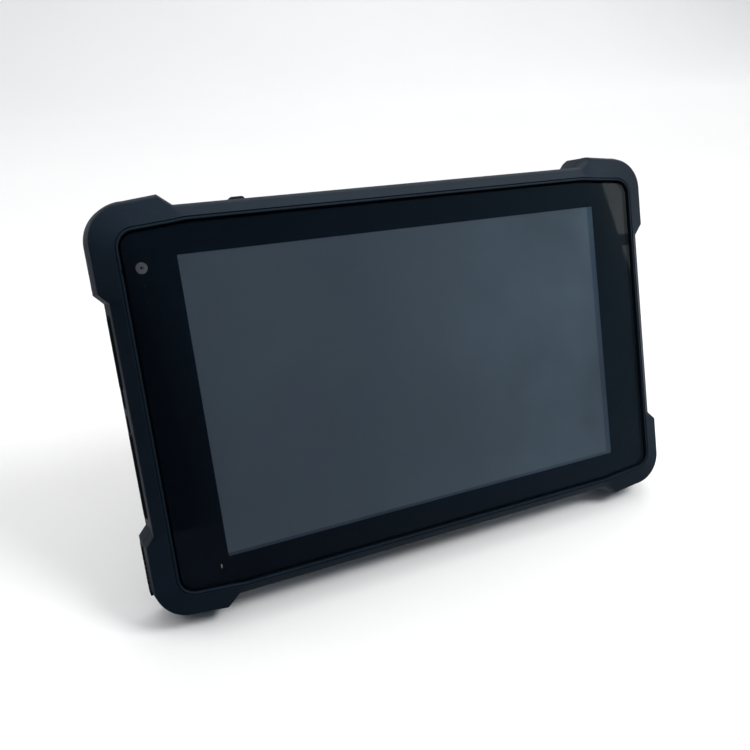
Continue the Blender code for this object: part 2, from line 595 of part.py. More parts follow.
def strap_anchor(mats):
    """Ribbed insert in the lower left bumper, with a slot that a cord ties through."""
    low, high = ANCHOR_Y
    ribs, pitch = 5, 2.6 * MM
    outline = [(-112.75 * MM, low), (-112.75 * MM, high)]
    outline += [(-114.9 * MM, high), (-115.0 * MM, high - 1.2 * MM)]
    start = high - 5.2 * MM
    outline += [(-115.0 * MM, start)]
    for i in range(ribs):
        y = start - i * pitch
        outline += [(-114.35 * MM, y - 0.4 * MM), (-114.35 * MM, y - 1.2 * MM)]
        outline += [(-115.0 * MM, y - 1.6 * MM)]
        outline += [(-115.0 * MM, y - pitch)] if i < ribs - 1 else []
    outline += [(-114.7 * MM, low)]
    anchor = mesh_object("strap_anchor", prism(outline, -17.5 * MM, -10.6 * MM), mats["rubber"])
    slot = block((-116 * MM, -113.4 * MM), (high - 4.6 * MM, high - 1.8 * MM), (-16.4 * MM, -11.7 * MM))
    cut(anchor, slot, "cord_slot")


def dock_connector(mats):
    """Eight sprung contacts in a plastic block, in the bottom wall."""
    body = prism(rounded((0, KEY_Z), (16.0 * MM, 1.7 * MM), 0.8 * MM), -70.9 * MM, -64 * MM, "y")
    dock = mesh_object("dock_connector", body, mats["dark_metal"])
    contacts = bmesh.new()
    for i in range(8):
        x = (i - 3.5) * 3.6 * MM
        add_prism(contacts, circle((x, KEY_Z), 0.75 * MM, 8), -71.5 * MM, -70.5 * MM, "y")
    join(dock, contacts, "dock_contacts")


# ---- Back ---------------------------------------------------------------------------------------


def back_pieces(mats):
    middle = sum(COVER_Y) / 2
    half_y = (COVER_Y[1] - COVER_Y[0]) / 2
    outline = rounded((0, middle), (COVER_X - RUN, half_y - RUN), 2.8 * MM)
    cover = mesh_object("battery_cover", prism(outline, BACK + 0.1 * MM, -19.7 * MM), mats["casing"])
    holes = bmesh.new()
    for at in cover_screw_places():
        add_prism(holes, circle(at, 1.25 * MM, 10), BACK - 1 * MM, -19 * MM)
        add_prism(holes, circle(at, 2.3 * MM, 14), BACK - 1 * MM, -20.4 * MM)
    cut(cover, holes, "cover_screw_holes")
    outer = rounded((0, middle), (BAY_X + 2.2 * MM, half_y - 7 * MM + 2.2 * MM), 3 * MM)
    inner = rounded((0, middle), (BAY_X + 0.6 * MM, half_y - 7 * MM + 0.6 * MM), 2 * MM)
    mesh_object("battery_cover_seal", frame_of(outer, inner, -19.55 * MM, COVER_LEDGE - GAP), mats["seal"])
    head, shank = (-21.25 * MM, 0.7 * MM, 2.0 * MM), (0.9 * MM, -17.2 * MM)
    for i, at in enumerate(cover_screw_places()):
        screw(f"battery_cover_screw_{i + 1}", at, head, shank, mats)
    head, shank = (-21.2 * MM, 1.6 * MM, 2.3 * MM), (1.2 * MM, -5.8 * MM)
    for i, at in enumerate(CASE_SCREWS):
        screw(f"case_screw_{i + 1}", at, head, shank, mats)
    for i, at in enumerate(STRAP_INSERTS):
        insert = frame_of(circle(at, 3.0 * MM), circle(at, 1.7 * MM), -21.35 * MM, -16.5 * MM)
        mesh_object(f"strap_insert_{i + 1}", insert, mats["brass"])
    rear_camera(mats)


def screw(name, at, head, shank, mats):
    """Round-headed screw with a hexagon socket. head is (z, height, radius), shank (radius, z of tip)."""
    low, tall, radius = head
    obj = mesh_object(name, prism(circle(at, radius, 14), low, low + tall), mats["steel"])
    join(obj, prism(circle(at, shank[0], 8), low + tall / 2, shank[1]), name + "_shank")
    socket = prism(circle(at, radius * 0.5, 6), low - 1 * MM, low + tall * 0.45)
    cut(obj, socket, name + "_socket")


def rear_camera(mats):
    x, y = CAMERA_AT
    outer, inner = circle(CAMERA_AT, 5.8 * MM, 24), circle(CAMERA_AT, 3.9 * MM, 24)
    ring = frame_of(outer, inner, BACK - 0.4 * MM, BACK + 0.85 * MM)
    mesh_object("rear_camera_ring", ring, mats["dark_metal"])
    window = prism(circle(CAMERA_AT, 3.75 * MM, 24), BACK, BACK + 0.8 * MM)
    mesh_object("rear_camera_window", window, mats["lens"])
    barrel = prism(circle(CAMERA_AT, 3.3 * MM), BACK + 1.1 * MM, -15 * MM)
    camera = mesh_object("rear_camera", barrel, mats["dark_metal"])
    wide, tall = (x - 4.5 * MM, x + 4.5 * MM), (y - 4.5 * MM, y + 4.5 * MM)
    join(camera, block(wide, tall, (SHELL_FLOOR + 0.3 * MM, -13.6 * MM)), "rear_camera_block")
    lens = prism(circle(FLASH_AT, 2.45 * MM, 16), BACK + 0.05 * MM, BACK + 0.7 * MM)
    flash = mesh_object("flash_lens", lens, mats["lamp"])
    join(flash, prism(circle(FLASH_AT, 1.45 * MM, 12), BACK + 0.4 * MM, -18.6 * MM), "flash_stem")


# ---- Kickstand ----------------------------------------------------------------------------------


def stand_angle():
    """How far the kickstand opens so that its foot meets the floor the bumpers stand on."""
    reach_y, reach_z = HINGE_Y - FOOT_CENTRE[0], HINGE_Z - FOOT_CENTRE[1]
    reach = math.hypot(reach_y, reach_z)
    hinge_height = HINGE_Y * math.cos(LEAN) + HINGE_Z * math.sin(LEAN) + floor_drop()
    leg = math.acos((hinge_height - FOOT_R) / reach)
    return LEAN + leg - math.atan2(reach_z, reach_y)


def floor_drop():
    """Height of the tablet frame's origin over the floor: the bumpers' rear bottom edge touches."""
    low = SIDE_Y + 0.6 * MM + BUMP_Y
    return low * math.cos(LEAN) - WALL_BACK * math.sin(LEAN)


def kickstand(mats):
    """The leg, its rubber foot and the two pins it swings on, modelled folded, then opened."""
    hinge = bpy.data.objects.new("kickstand_axis", None)
    bpy.context.scene.collection.objects.link(hinge)
    hinge.parent = bpy.data.objects["tablet"]
    hinge.location = (0, HINGE_Y, HINGE_Z)
    hinge.rotation_euler = (stand_angle(), 0, 0)
    low, high = STAND_BACK - HINGE_Z, STAND_FRONT - HINGE_Z
    outline = [
        (-STAND_HALF, -0.6 * MM),
        (-STAND_HALF, STAND_END - HINGE_Y + 8 * MM),
        (-STAND_HALF + 6 * MM, STAND_END - HINGE_Y),
        (STAND_HALF - 6 * MM, STAND_END - HINGE_Y),
        (STAND_HALF, STAND_END - HINGE_Y + 8 * MM),
        (STAND_HALF, -0.6 * MM),
    ]
    leg = mesh_object("kickstand", prism(outline, low, high), mats["dark_metal"], hinge)
    join(leg, prism(circle((0, 0), KNUCKLE_R, 16), -STAND_HALF, STAND_HALF, "x"), "knuckle")
    ends = bmesh.new()
    for side in (-1, 1):
        span = sorted((side * 40 * MM, side * 50 * MM))
        add_prism(ends, circle((0, 0), PIN_R + 0.15 * MM, 12), *span, "x")
    cut(leg, ends, "pin_bores")
    window = prism(rounded((0, -36 * MM), (26 * MM, 7 * MM), 3 * MM), high - 0.8 * MM, high + 1 * MM)
    cut(leg, window, "inner_relief")
    centre = (FOOT_CENTRE[0] - HINGE_Y, FOOT_CENTRE[1] - HINGE_Z)
    round_end = [
        (centre[0] + FOOT_R * math.cos(t), centre[1] + FOOT_R * math.sin(t))
        for t in (math.pi * (0.5 + i / 8) for i in range(9))
    ]
    top = STAND_END - HINGE_Y - GAP
    points = [(top, centre[1] - FOOT_R), (top, centre[1] + FOOT_R), *round_end]
    foot = prism(points, -STAND_HALF + 7 * MM, STAND_HALF - 7 * MM, "x")
    mesh_object("stand_foot", foot, mats["rubber"], hinge)
    for name, side in (("stand_pin_left", -1), ("stand_pin_right", 1)):
        span = sorted((side * 40.5 * MM, side * 53.8 * MM))
        mesh_object(name, prism(circle((HINGE_Y, HINGE_Z), PIN_R, 12), *span, "x"), mats["steel"])


def main():
    clear_scene()
    tablet = bpy.data.objects.new("tablet", None)
    bpy.context.scene.collection.objects.link(tablet)
    tablet.rotation_euler = (math.pi / 2 - LEAN, 0, 0)
    tablet.location = (0.05 * MM, SET_BACK, floor_drop())
    mats = make_materials()
    front_frame(mats)
    rear_shell(mats)
    shell_seal(mats)
    glass_and_display(mats)
    for name in ("front_frame", "glass_gasket"):
        cut(bpy.data.objects[name], front_well(), name + "_well")
    inside(mats)
    ports(mats)
    side_pieces(mats)
    back_pieces(mats)
    kickstand(mats)


main()
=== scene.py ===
"""Rugged 8-inch tablet data collector on its kickstand: pieces, materials, light and camera.

Pieces are modelled in the tablet's own frame, in metres: x along the long side, y up the screen and
z out of it, with z = 0 on the outer face of the cover glass. PLACE puts that frame in the CAD's.
Sizes follow the CAD. Profiles are lists of (height, growth) or (height, radius), from end to end.
"""

import json
import math

import bmesh
import bpy
from mathutils import Matrix, Vector


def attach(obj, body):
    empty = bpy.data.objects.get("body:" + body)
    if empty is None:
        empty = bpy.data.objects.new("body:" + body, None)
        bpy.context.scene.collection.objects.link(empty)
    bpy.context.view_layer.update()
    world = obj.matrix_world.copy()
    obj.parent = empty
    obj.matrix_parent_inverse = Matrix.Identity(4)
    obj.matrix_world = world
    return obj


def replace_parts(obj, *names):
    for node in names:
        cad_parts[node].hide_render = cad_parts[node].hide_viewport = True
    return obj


MM = 0.001
LEAN = math.radians(18.9)
# The edge that the tablet stands on: how far it is below the middle of the glass, and behind it.
FOOT_BELOW, FOOT_BEHIND = 75.8 * MM, 18.5 * MM
DROP = FOOT_BELOW * math.cos(LEAN) + FOOT_BEHIND * math.sin(LEAN)
MIDDLE_X, MIDDLE_Y = 0.05 * MM, -11.007 * MM
UPRIGHT = Matrix.Rotation(math.pi / 2 - LEAN, 4, "X")
PLACE = Matrix.Translation((MIDDLE_X, MIDDLE_Y, DROP)) @ UPRIGHT

# Casing: half sizes, and the corner bumpers, which stand out by BUMP in x and y. Their outer edge
# falls away by FLARE from the step to the corner. STEP_X and STEP_Y are each step's two ends.
SIDE_X, SIDE_Y = 111.3 * MM, 71.3 * MM
BUMP = (3.1 * MM, 3.9 * MM)
SEAM_BUMP = (BUMP[0] + 0.3 * MM, BUMP[1])
FLARE = 1.25 * MM
STEP_X = (84.5 * MM, 89.3 * MM)
STEP_Y = (40.8 * MM, 44.2 * MM)
CORNER_SEGMENTS = 20
GLASS_X, GLASS_Y, GLASS_RADIUS, GLASS_GAP = 104.0 * MM, 64.4 * MM, 5.2 * MM, 0.4 * MM
# The hollow inside: half sizes and corner radius.
CAVITY = (106.5 * MM, 67.3 * MM, 8.5 * MM)

# Heights: the rear shell's front edge and inner floor, its outer face, the battery bay's floor.
SHELL_FRONT, SHELL_FLOOR = -9.3 * MM, -19.3 * MM
BACK = -21.5 * MM
BAY_FLOOR = -18.9 * MM
KEY_Z = -13.6 * MM
PORT_Z = (-17.1 * MM, -10.9 * MM)

# Places of the fittings, and what moves.
FRONT_CAMERA_AT = (-98.4 * MM, 51.1 * MM)
SENSOR_EYES = (45.0 * MM, 39.8 * MM)
STATUS_LIGHT_AT = (-89.4 * MM, -57.3 * MM)
CAMERA_AT, FLASH_AT, SPEAKER_AT = (-89 * MM, 50 * MM), (-89 * MM, 37.5 * MM), (80 * MM, -14 * MM)
POWER_X = -60.8 * MM
TRUNNION_X = -111.0 * MM
TRUNNIONS_Y = (35.2 * MM, -35.5 * MM)
HINGE_Y, HINGE_Z = 10.0 * MM, -19.6 * MM
STAND_OPEN = math.radians(28.51)
# Each port: its middle in y, half its width and half its height.
PORTS = {
    "micro_hdmi_port": (29.0 * MM, 3.6 * MM, 1.7 * MM),
    "usb_c_port_upper": (17.9 * MM, 4.6 * MM, 1.75 * MM),
    "usb_c_port_lower": (-12.2 * MM, 4.6 * MM, 1.75 * MM),
    "audio_jack": (-21.6 * MM, 2.6 * MM, 2.6 * MM),
    "card_slot": (-30.5 * MM, 5.4 * MM, 1.3 * MM),
}


def four_ways(x, y):
    return [(sx * x * MM, sy * y * MM) for sx in (-1, 1) for sy in (-1, 1)]


def cover_screw_places():
    return [(side * 62 * MM, y * MM) for side in (-1, 1) for y in (21, 59)]


CASE_SCREWS = four_ways(100.5, 59.5) + four_ways(75.0, 62.8)
STRAP_INSERTS = four_ways(76.0, 46.0)

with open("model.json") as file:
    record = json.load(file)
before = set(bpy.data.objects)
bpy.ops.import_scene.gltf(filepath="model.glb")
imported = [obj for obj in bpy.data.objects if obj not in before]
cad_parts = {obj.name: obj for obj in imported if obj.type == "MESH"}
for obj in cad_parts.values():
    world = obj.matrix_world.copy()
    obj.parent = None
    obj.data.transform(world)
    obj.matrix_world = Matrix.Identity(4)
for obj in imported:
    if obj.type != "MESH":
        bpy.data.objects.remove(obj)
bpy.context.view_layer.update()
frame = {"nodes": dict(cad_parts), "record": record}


# ---- Mesh building ------------------------------------------------------------------------------


def piece(name, bm, material, body="tablet_body", bevel=0.0, smooth=35, place=PLACE):
    """bm as a piece that rides on a body, its edges rounded by bevel."""
    bmesh.ops.recalc_face_normals(bm, faces=bm.faces)
    mesh = bpy.data.meshes.new(name)
    bm.to_mesh(mesh)
    bm.free()
    mesh.shade_smooth()
    mesh.set_sharp_from_angle(angle=math.radians(smooth))
    obj = bpy.data.objects.new(name, mesh)
    bpy.context.scene.collection.objects.link(obj)
    obj.matrix_world = place
    if material is not None:
        mesh.materials.append(material)
    if bevel:
        rounded_edges(obj, bevel)
    else:
        flat_faces(obj)
    if body:
        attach(obj, body)
    return obj


def rounded_edges(obj, width, segments=2, angle=25):
    bevel = obj.modifiers.new("bevel", "BEVEL")
    bevel.width = width
    bevel.segments = segments
    bevel.limit_method = "ANGLE"
    bevel.angle_limit = math.radians(angle)
    bevel.use_clamp_overlap = True
    for old in [m for m in obj.modifiers if m.type == "WEIGHTED_NORMAL"]:
        obj.modifiers.remove(old)
    flat_faces(obj)


def flat_faces(obj):
    """Keeps a large flat face shaded flat where small rounded ones run into it."""
    weighted = obj.modifiers.new("weighted", "WEIGHTED_NORMAL")
    weighted.mode = "FACE_AREA"
    weighted.weight = 100
    weighted.keep_sharp = True


def shape(target, bm, operation="DIFFERENCE"):
    """Cuts bm out of target, or joins it on, and applies the result."""
    bmesh.ops.recalc_face_normals(bm, faces=bm.faces)
    mesh = bpy.data.meshes.new("helper")
    bm.to_mesh(mesh)
    bm.free()
    helper = bpy.data.objects.new("helper", mesh)
    bpy.context.scene.collection.objects.link(helper)
    helper.matrix_world = target.matrix_world.copy()
    for old in list(target.modifiers):
        target.modifiers.remove(old)
    boolean = target.modifiers.new("shape", "BOOLEAN")
    boolean.operation = operation
    boolean.object = helper
    boolean.solver = "EXACT"
    boolean.use_self = True
    bpy.context.view_layer.update()
    graph = bpy.context.evaluated_depsgraph_get()
    made = bpy.data.meshes.new_from_object(target.evaluated_get(graph), depsgraph=graph)
    target.modifiers.remove(boolean)
    target.data = made
    bpy.data.objects.remove(helper)
    bpy.data.meshes.remove(mesh)


def quarter_outline(half_x, half_y, radius, z, bump, flare, z_bump, shift):
    corner_x, corner_y = half_x + bump[0], half_y + bump[1] - flare
    quarter = [(half_x, STEP_Y[0] - shift, z), (corner_x, STEP_Y[1] - shift, z_bump)]
    for i in range(CORNER_SEGMENTS + 1):
        turn = math.pi / 2 * i / CORNER_SEGMENTS
        x = corner_x - radius + radius * math.cos(turn)
        y = corner_y - radius + radius * math.sin(turn)
        quarter.append((x, y, z_bump))
    return quarter + [(STEP_X[1] - shift, half_y + bump[1], z_bump), (STEP_X[0] - shift, half_y, z)]


def level(
    half_x, half_y, radius, z, bump=(0, 0), flare=0.0, z_bump=None, shift=0.0, low_flare=None
):
    """One closed outline of the casing as points, anticlockwise, the same count at every level."""
    z_bump = z if z_bump is None else z_bump
    low_flare = flare if low_flare is None else low_flare
    above = quarter_outline(half_x, half_y, radius, z, bump, flare, z_bump, shift)
    below = quarter_outline(half_x, half_y, radius, z, bump, low_flare, z_bump, shift)
    across = [(-x, y, h) for x, y, h in reversed(above)]
    opposite = [(-x, -y, h) for x, y, h in below]
    under = [(x, -y, h) for x, y, h in reversed(below)]
    return [Vector(p) for p in above + across + opposite + under]


def glass_level(grow, z):
    """The glass's outline, grown all round. Its long edges draw in a little near the corners."""
    size = (GLASS_X + grow, GLASS_Y + grow, GLASS_RADIUS + grow)
    return level(*size, z, (0, -0.55 * MM), 1.0 * MM, shift=2.5 * MM)


def loft(levels, ring):
    """Skin over the outlines, closed into a ring or capped at both ends."""
    bm = bmesh.new()
    rows = [[bm.verts.new(p) for p in points] for points in levels]
    count = len(rows[0])
    pairs = list(zip(rows, rows[1:] + rows[:1])) if ring else list(zip(rows, rows[1:]))
    for low, high in pairs:
        for i in range(count):
            j = (i + 1) % count
            bm.faces.new((low[i], low[j], high[j], high[i]))
    if not ring:
        bm.faces.new(rows[0])
        bm.faces.new(rows[-1])
    return bm


def rounded(centre, half, radius, segments=6):
    points = []
    for corner, (sx, sy) in enumerate(((1, 1), (-1, 1), (-1, -1), (1, -1))):
        for i in range(segments + 1):
            turn = math.pi / 2 * (corner + i / segments)
            x = centre[0] + sx * (half[0] - radius) + radius * math.cos(turn)
            points.append((x, centre[1] + sy * (half[1] - radius) + radius * math.sin(turn)))
    return points


def circle(centre, radius, segments=32):
    turns = [2 * math.pi * (i + 0.5) / segments for i in range(segments)]
    return [(centre[0] + radius * math.cos(t), centre[1] + radius * math.sin(t)) for t in turns]


def skin(rows, axis="z", bm=None):
    """Closed skin over rows of (points in two axes, height on the third)."""
    order = {"z": (0, 1, 2), "y": (0, 2, 1), "x": (2, 0, 1)}[axis]
    bm = bm or bmesh.new()
    made = []
    for points, height in rows:
        flats = [(u, v, height) for u, v in points]
        made.append([bm.verts.new([flat[k] for k in order]) for flat in flats])
    count = len(made[0])
    for low, high in zip(made, made[1:]):
        for i in range(count):
            j = (i + 1) % count
            bm.faces.new((low[i], low[j], high[j], high[i]))
    bm.faces.new(made[0])
    bm.faces.new(made[-1])
    return bm


def prism(points, low, high, axis="z", bm=None):
    return skin([(points, low), (points, high)], axis, bm)


def stack(centre, half, radius, steps, axis="z", bm=None, segments=6):
    """A round-cornered block whose outline grows or shrinks: steps are (height, growth)."""
    rows = []
    for height, grow in steps:
        size = (half[0] + grow, half[1] + grow)
        rows.append((rounded(centre, size, max(radius + grow, 0.02 * MM), segments), height))
    return skin(rows, axis, bm)


def turned(centre, steps, axis="z", bm=None, segments=32):
    """A turned solid: steps are (height, radius)."""
    return skin([(circle(centre, radius, segments), height) for height, radius in steps], axis, bm)


def block(x, y, z, bm=None):
    points = [(x[0], y[0]), (x[1], y[0]), (x[1], y[1]), (x[0], y[1])]
    return prism(points, *z, bm=bm)


def in_mm(pairs):
    return [(a * MM, b * MM) for a, b in pairs]


# ---- Materials ----------------------------------------------------------------------------------


def set_stops(ramp, stops):
    """stops: (position, colour or grey)."""
    elements = ramp.color_ramp.elements
    while len(elements) < len(stops):
        elements.new(0.5)
    for element, (position, colour) in zip(elements, stops):
        element.position = position
        element.color = (*(colour if isinstance(colour, tuple) else (colour,) * 3), 1.0)


class Nodes:
    """A material's node tree, built in a few words."""

    def __init__(self, name):
        self.material = bpy.data.materials.new(name)
        self.material.use_nodes = True
        self.tree = self.material.node_tree
        self.shader = self.tree.nodes["Principled BSDF"]
        coordinates = self.tree.nodes.new("ShaderNodeTexCoord")
        self.at = coordinates.outputs["Object"]

    def add(self, kind, **values):
        node = self.tree.nodes.new(kind)
        for key, value in values.items():
            setattr(node, key, value)
        return node

    def link(self, source, target):
        self.tree.links.new(source, target)

    def noise(self, scale, detail=4.0, roughness=0.55, stretch=None):
        node = self.add("ShaderNodeTexNoise")
        node.inputs["Scale"].default_value = scale
        node.inputs["Detail"].default_value = detail
        node.inputs["Roughness"].default_value = roughness
        at = self.at
        if stretch:
            mapping = self.add("ShaderNodeMapping")
            mapping.inputs["Scale"].default_value = stretch
            self.link(at, mapping.inputs["Vector"])
            at = mapping.outputs["Vector"]
        self.link(at, node.inputs["Vector"])
        return node.outputs["Fac"]

    def ramp(self, source, stops):
        node = self.add("ShaderNodeValToRGB")
        set_stops(node, stops)
        self.link(source, node.inputs["Fac"])
        return node.outputs["Color"]

    def span(self, axis, low, high):
        """Goes from 0 to 1 as the place on one axis goes from low to high."""
        split = self.add("ShaderNodeSeparateXYZ")
        self.link(self.at, split.inputs["Vector"])
        rise = self.add("ShaderNodeMapRange")
        rise.inputs["From Min"].default_value = low
        rise.inputs["From Max"].default_value = high
        self.link(split.outputs[axis], rise.inputs["Value"])
        return rise.outputs["Result"]

    def mix(self, factor, a, b):
        node = self.add("ShaderNodeMix", data_type="RGBA")
        self.link(factor, node.inputs[0])
        for value, socket in ((a, node.inputs[6]), (b, node.inputs[7])):
            if isinstance(value, tuple):
                socket.default_value = (*value, 1.0)
            else:
                self.link(value, socket)
        return node.outputs[2]

    def bump(self, heights):
        """heights: (source, distance in metres, strength), one on top of the other."""
        normal = None
        for source, distance, strength in heights:
            node = self.add("ShaderNodeBump")
            node.inputs["Distance"].default_value = distance
            node.inputs["Strength"].default_value = strength
            self.link(source, node.inputs["Height"])
            if normal is not None:
                self.link(normal, node.inputs["Normal"])
            normal = node.outputs["Normal"]
        self.link(normal, self.shader.inputs["Normal"])

    def colour(self, source):
        self.link(source, self.shader.inputs["Base Color"])

    def rough(self, source):
        self.link(source, self.shader.inputs["Roughness"])

    def set(self, **values):
        """Constants on the shader's own sockets."""
        for key, value in values.items():
            self.shader.inputs[key.replace("_", " ")].default_value = value
        return self


WORN = (0.012, 0.017, 0.024)


def moulded(name, dark, light, rough, grain=2600, depth=0.06 * MM):
    """Fine-grained moulded plastic or rubber: mottled colour, pebbled bump, rubbed patches."""
    n = Nodes(name)
    broad = n.noise(38, 5, 0.6)
    fine = n.noise(900, 3, 0.6)
    body = n.mix(n.ramp(broad, [(0.3, 0.0), (0.72, 1.0)]), dark, light)
    rubbed = n.ramp(n.noise(120, 6, 0.7), [(0.62, 0.0), (0.8, 1.0)])
    n.colour(n.mix(rubbed, body, WORN))
    n.rough(n.ramp(fine, [(0.2, rough - 0.06), (0.8, rough + 0.08)]))
    pebbles = n.add("ShaderNodeTexVoronoi", feature="SMOOTH_F1")
    pebbles.inputs["Scale"].default_value = grain
    n.link(n.at, pebbles.inputs["Vector"])
    n.bump([(pebbles.outputs["Distance"], depth, 0.5), (n.noise(420, 3), 0.05 * MM, 0.25)])
    return n.set(Specular_IOR_Level=0.1, Specular_Tint=(0.65, 0.86, 1.0, 1)).material


def metal(name, colour, rough, metallic=1.0, brushed=(1, 1, 1)):
    """Metal with faint streaks, drawn out along the axes that brushed has at 1."""
    n = Nodes(name)
    streaks = n.noise(260, 4, 0.6, brushed)
    darker = tuple(c * 0.78 for c in colour)
    n.colour(n.mix(n.ramp(streaks, [(0.25, 0.0), (0.75, 1.0)]), darker, colour))
    n.rough(n.ramp(streaks, [(0.2, rough - 0.08), (0.8, rough + 0.12)]))
    n.bump([(streaks, 0.03 * MM, 0.25)])
    return n.set(Metallic=metallic).material


def board_material():
    """Green solder mask over copper runs."""
    n = Nodes("board_mask")
    bricks = n.add("ShaderNodeTexBrick", offset=0.37)
    bricks.inputs["Scale"].default_value = 260
    bricks.inputs["Color1"].default_value = (0.01, 0.09, 0.04, 1)
    bricks.inputs["Color2"].default_value = (0.015, 0.13, 0.06, 1)
    bricks.inputs["Mortar"].default_value = (0.03, 0.2, 0.09, 1)
    n.link(n.at, bricks.inputs["Vector"])
    n.colour(bricks.outputs["Color"])
    n.rough(n.ramp(n.noise(700), [(0.3, 0.35), (0.7, 0.5)]))
    n.bump([(bricks.outputs["Fac"], 0.04 * MM, 0.5)])
    return n.material


def glass_material():
    """Clear glass with a few faint smears."""
    n = Nodes("cover_glass_clear")
    n.rough(n.ramp(n.noise(34, 5, 0.62, (1, 0.6, 1)), [(0.5, 0.012), (0.8, 0.05)]))
    return n.set(Base_Color=(0.97, 0.985, 1.0, 1), Transmission_Weight=1.0, IOR=1.5).material


INK_DARK, INK_LIGHT = (0.0022, 0.0032, 0.0055), (0.0032, 0.0045, 0.0072)
# The display and the strip at its edge: the colours at the left, at the right and in the clouds.
# The right colours are lighter: painted light that brightens both towards the right.
DISPLAY_COLOURS_LIT_FROM_RIGHT = ((0.086, 0.106, 0.134), (0.139, 0.192, 0.232), (0.094, 0.119, 0.145))
EDGE_COLOURS_LIT_FROM_RIGHT = ((0.040, 0.052, 0.076), (0.084, 0.124, 0.172), (0.056, 0.076, 0.108))


def ink_material():
    """The dark border printed behind the glass. The glass's sides and rounded edges take it too, as
    painted shade without highlights.
    """
    n = Nodes("border_ink_and_edge_shade")
    specks = n.ramp(n.noise(3000, 2), [(0.3, 0.0), (0.7, 1.0)])
    n.colour(n.mix(specks, INK_DARK, INK_LIGHT))
    n.rough(n.ramp(n.noise(60), [(0.3, 0.3), (0.7, 0.42)]))
    return n.set(Specular_IOR_Level=0.0).material


def display_material(name, left, right, cloudy):
    """A switched-off panel: grey-blue, with painted light that makes it lighter and a little
    greener to the right, and a fine pixel grid.
    """
    n = Nodes(name)
    # Painted light: the colour grows lighter from the left colour to the right one.
    across = n.mix(n.span("X", -30 * MM, 86 * MM), left, right)
    cloud = n.ramp(n.noise(16, 3), [(0.35, 0.0), (0.7, 1.0)])
    n.colour(n.mix(cloud, across, cloudy))
    grid = n.add("ShaderNodeTexBrick", offset=0.0)
    grid.inputs["Scale"].default_value = 1100
    n.link(n.at, grid.inputs["Vector"])
    n.rough(n.ramp(n.noise(500), [(0.3, 0.5), (0.7, 0.62)]))
    n.bump([(grid.outputs["Fac"], 0.01 * MM, 0.15)])
    return n.set(Specular_IOR_Level=0.0).material


def lens_material():
    n = Nodes("lens_glass")
    n.rough(n.ramp(n.noise(400), [(0.3, 0.03), (0.7, 0.07)]))
    n.colour(n.mix(n.noise(900), (0.004, 0.004, 0.009), (0.010, 0.007, 0.018)))
    return n.set(Coat_Weight=1.0, Coat_Roughness=0.02).material


# Moulded: the two tones, the roughness, the grain's scale and depth. Metal: tone and roughness, how
# metallic it is and its streaks' scale.
MATS = {
    "casing": moulded("casing_plastic", (0.0056, 0.0103, 0.0180), (0.0080, 0.0140, 0.0230), 0.55),
    "rubber": moulded(
        "soft_rubber", (0.011, 0.012, 0.014), (0.017, 0.018, 0.020), 0.68, 1500, 0.09 * MM
    ),
    "seal": moulded("seal_rubber", (0.004, 0.004, 0.005), (0.007, 0.007, 0.008), 0.7, 1500),
    "dark_metal": metal("blackened_metal", (0.035, 0.036, 0.040), 0.45, 0.6, (1, 8, 1)),
    "steel": metal("screw_steel", (0.42, 0.42, 0.43), 0.32),
    "brass": metal("insert_brass", (0.70, 0.48, 0.20), 0.3),
    "alloy": metal("stamped_alloy", (0.55, 0.56, 0.58), 0.42, 1.0, (1, 14, 1)),
    "board": board_material(),
    "battery": moulded("battery_wrap", (0.02, 0.02, 0.022), (0.03, 0.03, 0.033), 0.4, 600),
    "glass": glass_material(),
    "ink": ink_material(),
    "display": display_material("display_off", *DISPLAY_COLOURS_LIT_FROM_RIGHT),
    "lens": lens_material(),
    "camera_ring": metal("camera_ring_grey", (0.17, 0.175, 0.185), 0.45, 0.2),
    "panel_edge": display_material("panel_edge", *EDGE_COLOURS_LIT_FROM_RIGHT),
    "eye": moulded(
        "sensor_filter", (0.006, 0.010, 0.016), (0.009, 0.014, 0.022), 0.25, 900, 0.01 * MM
    ),
    "lamp": moulded("flash_diffuser", (0.62, 0.56, 0.34), (0.75, 0.70, 0.48), 0.3, 1800),
    "ceramic": moulded("antenna_ceramic", (0.55, 0.5, 0.42), (0.66, 0.6, 0.52), 0.6),
    "flex": metal("flex_film", (0.5, 0.22, 0.05), 0.35, 0.2),
}


def repaint():
    """Every carried-over CAD node gets the finish of its slot."""
    slots = {s["node"]: s["material_slot"] for s in frame["record"]["subparts"]}
    for name, node in frame["nodes"].items():
        material = MATS[slots[name]]
        if not node.data.materials:
            node.data.materials.append(material)
        for slot in node.material_slots:
            slot.material = material


# ---- Casing -------------------------------------------------------------------------------------


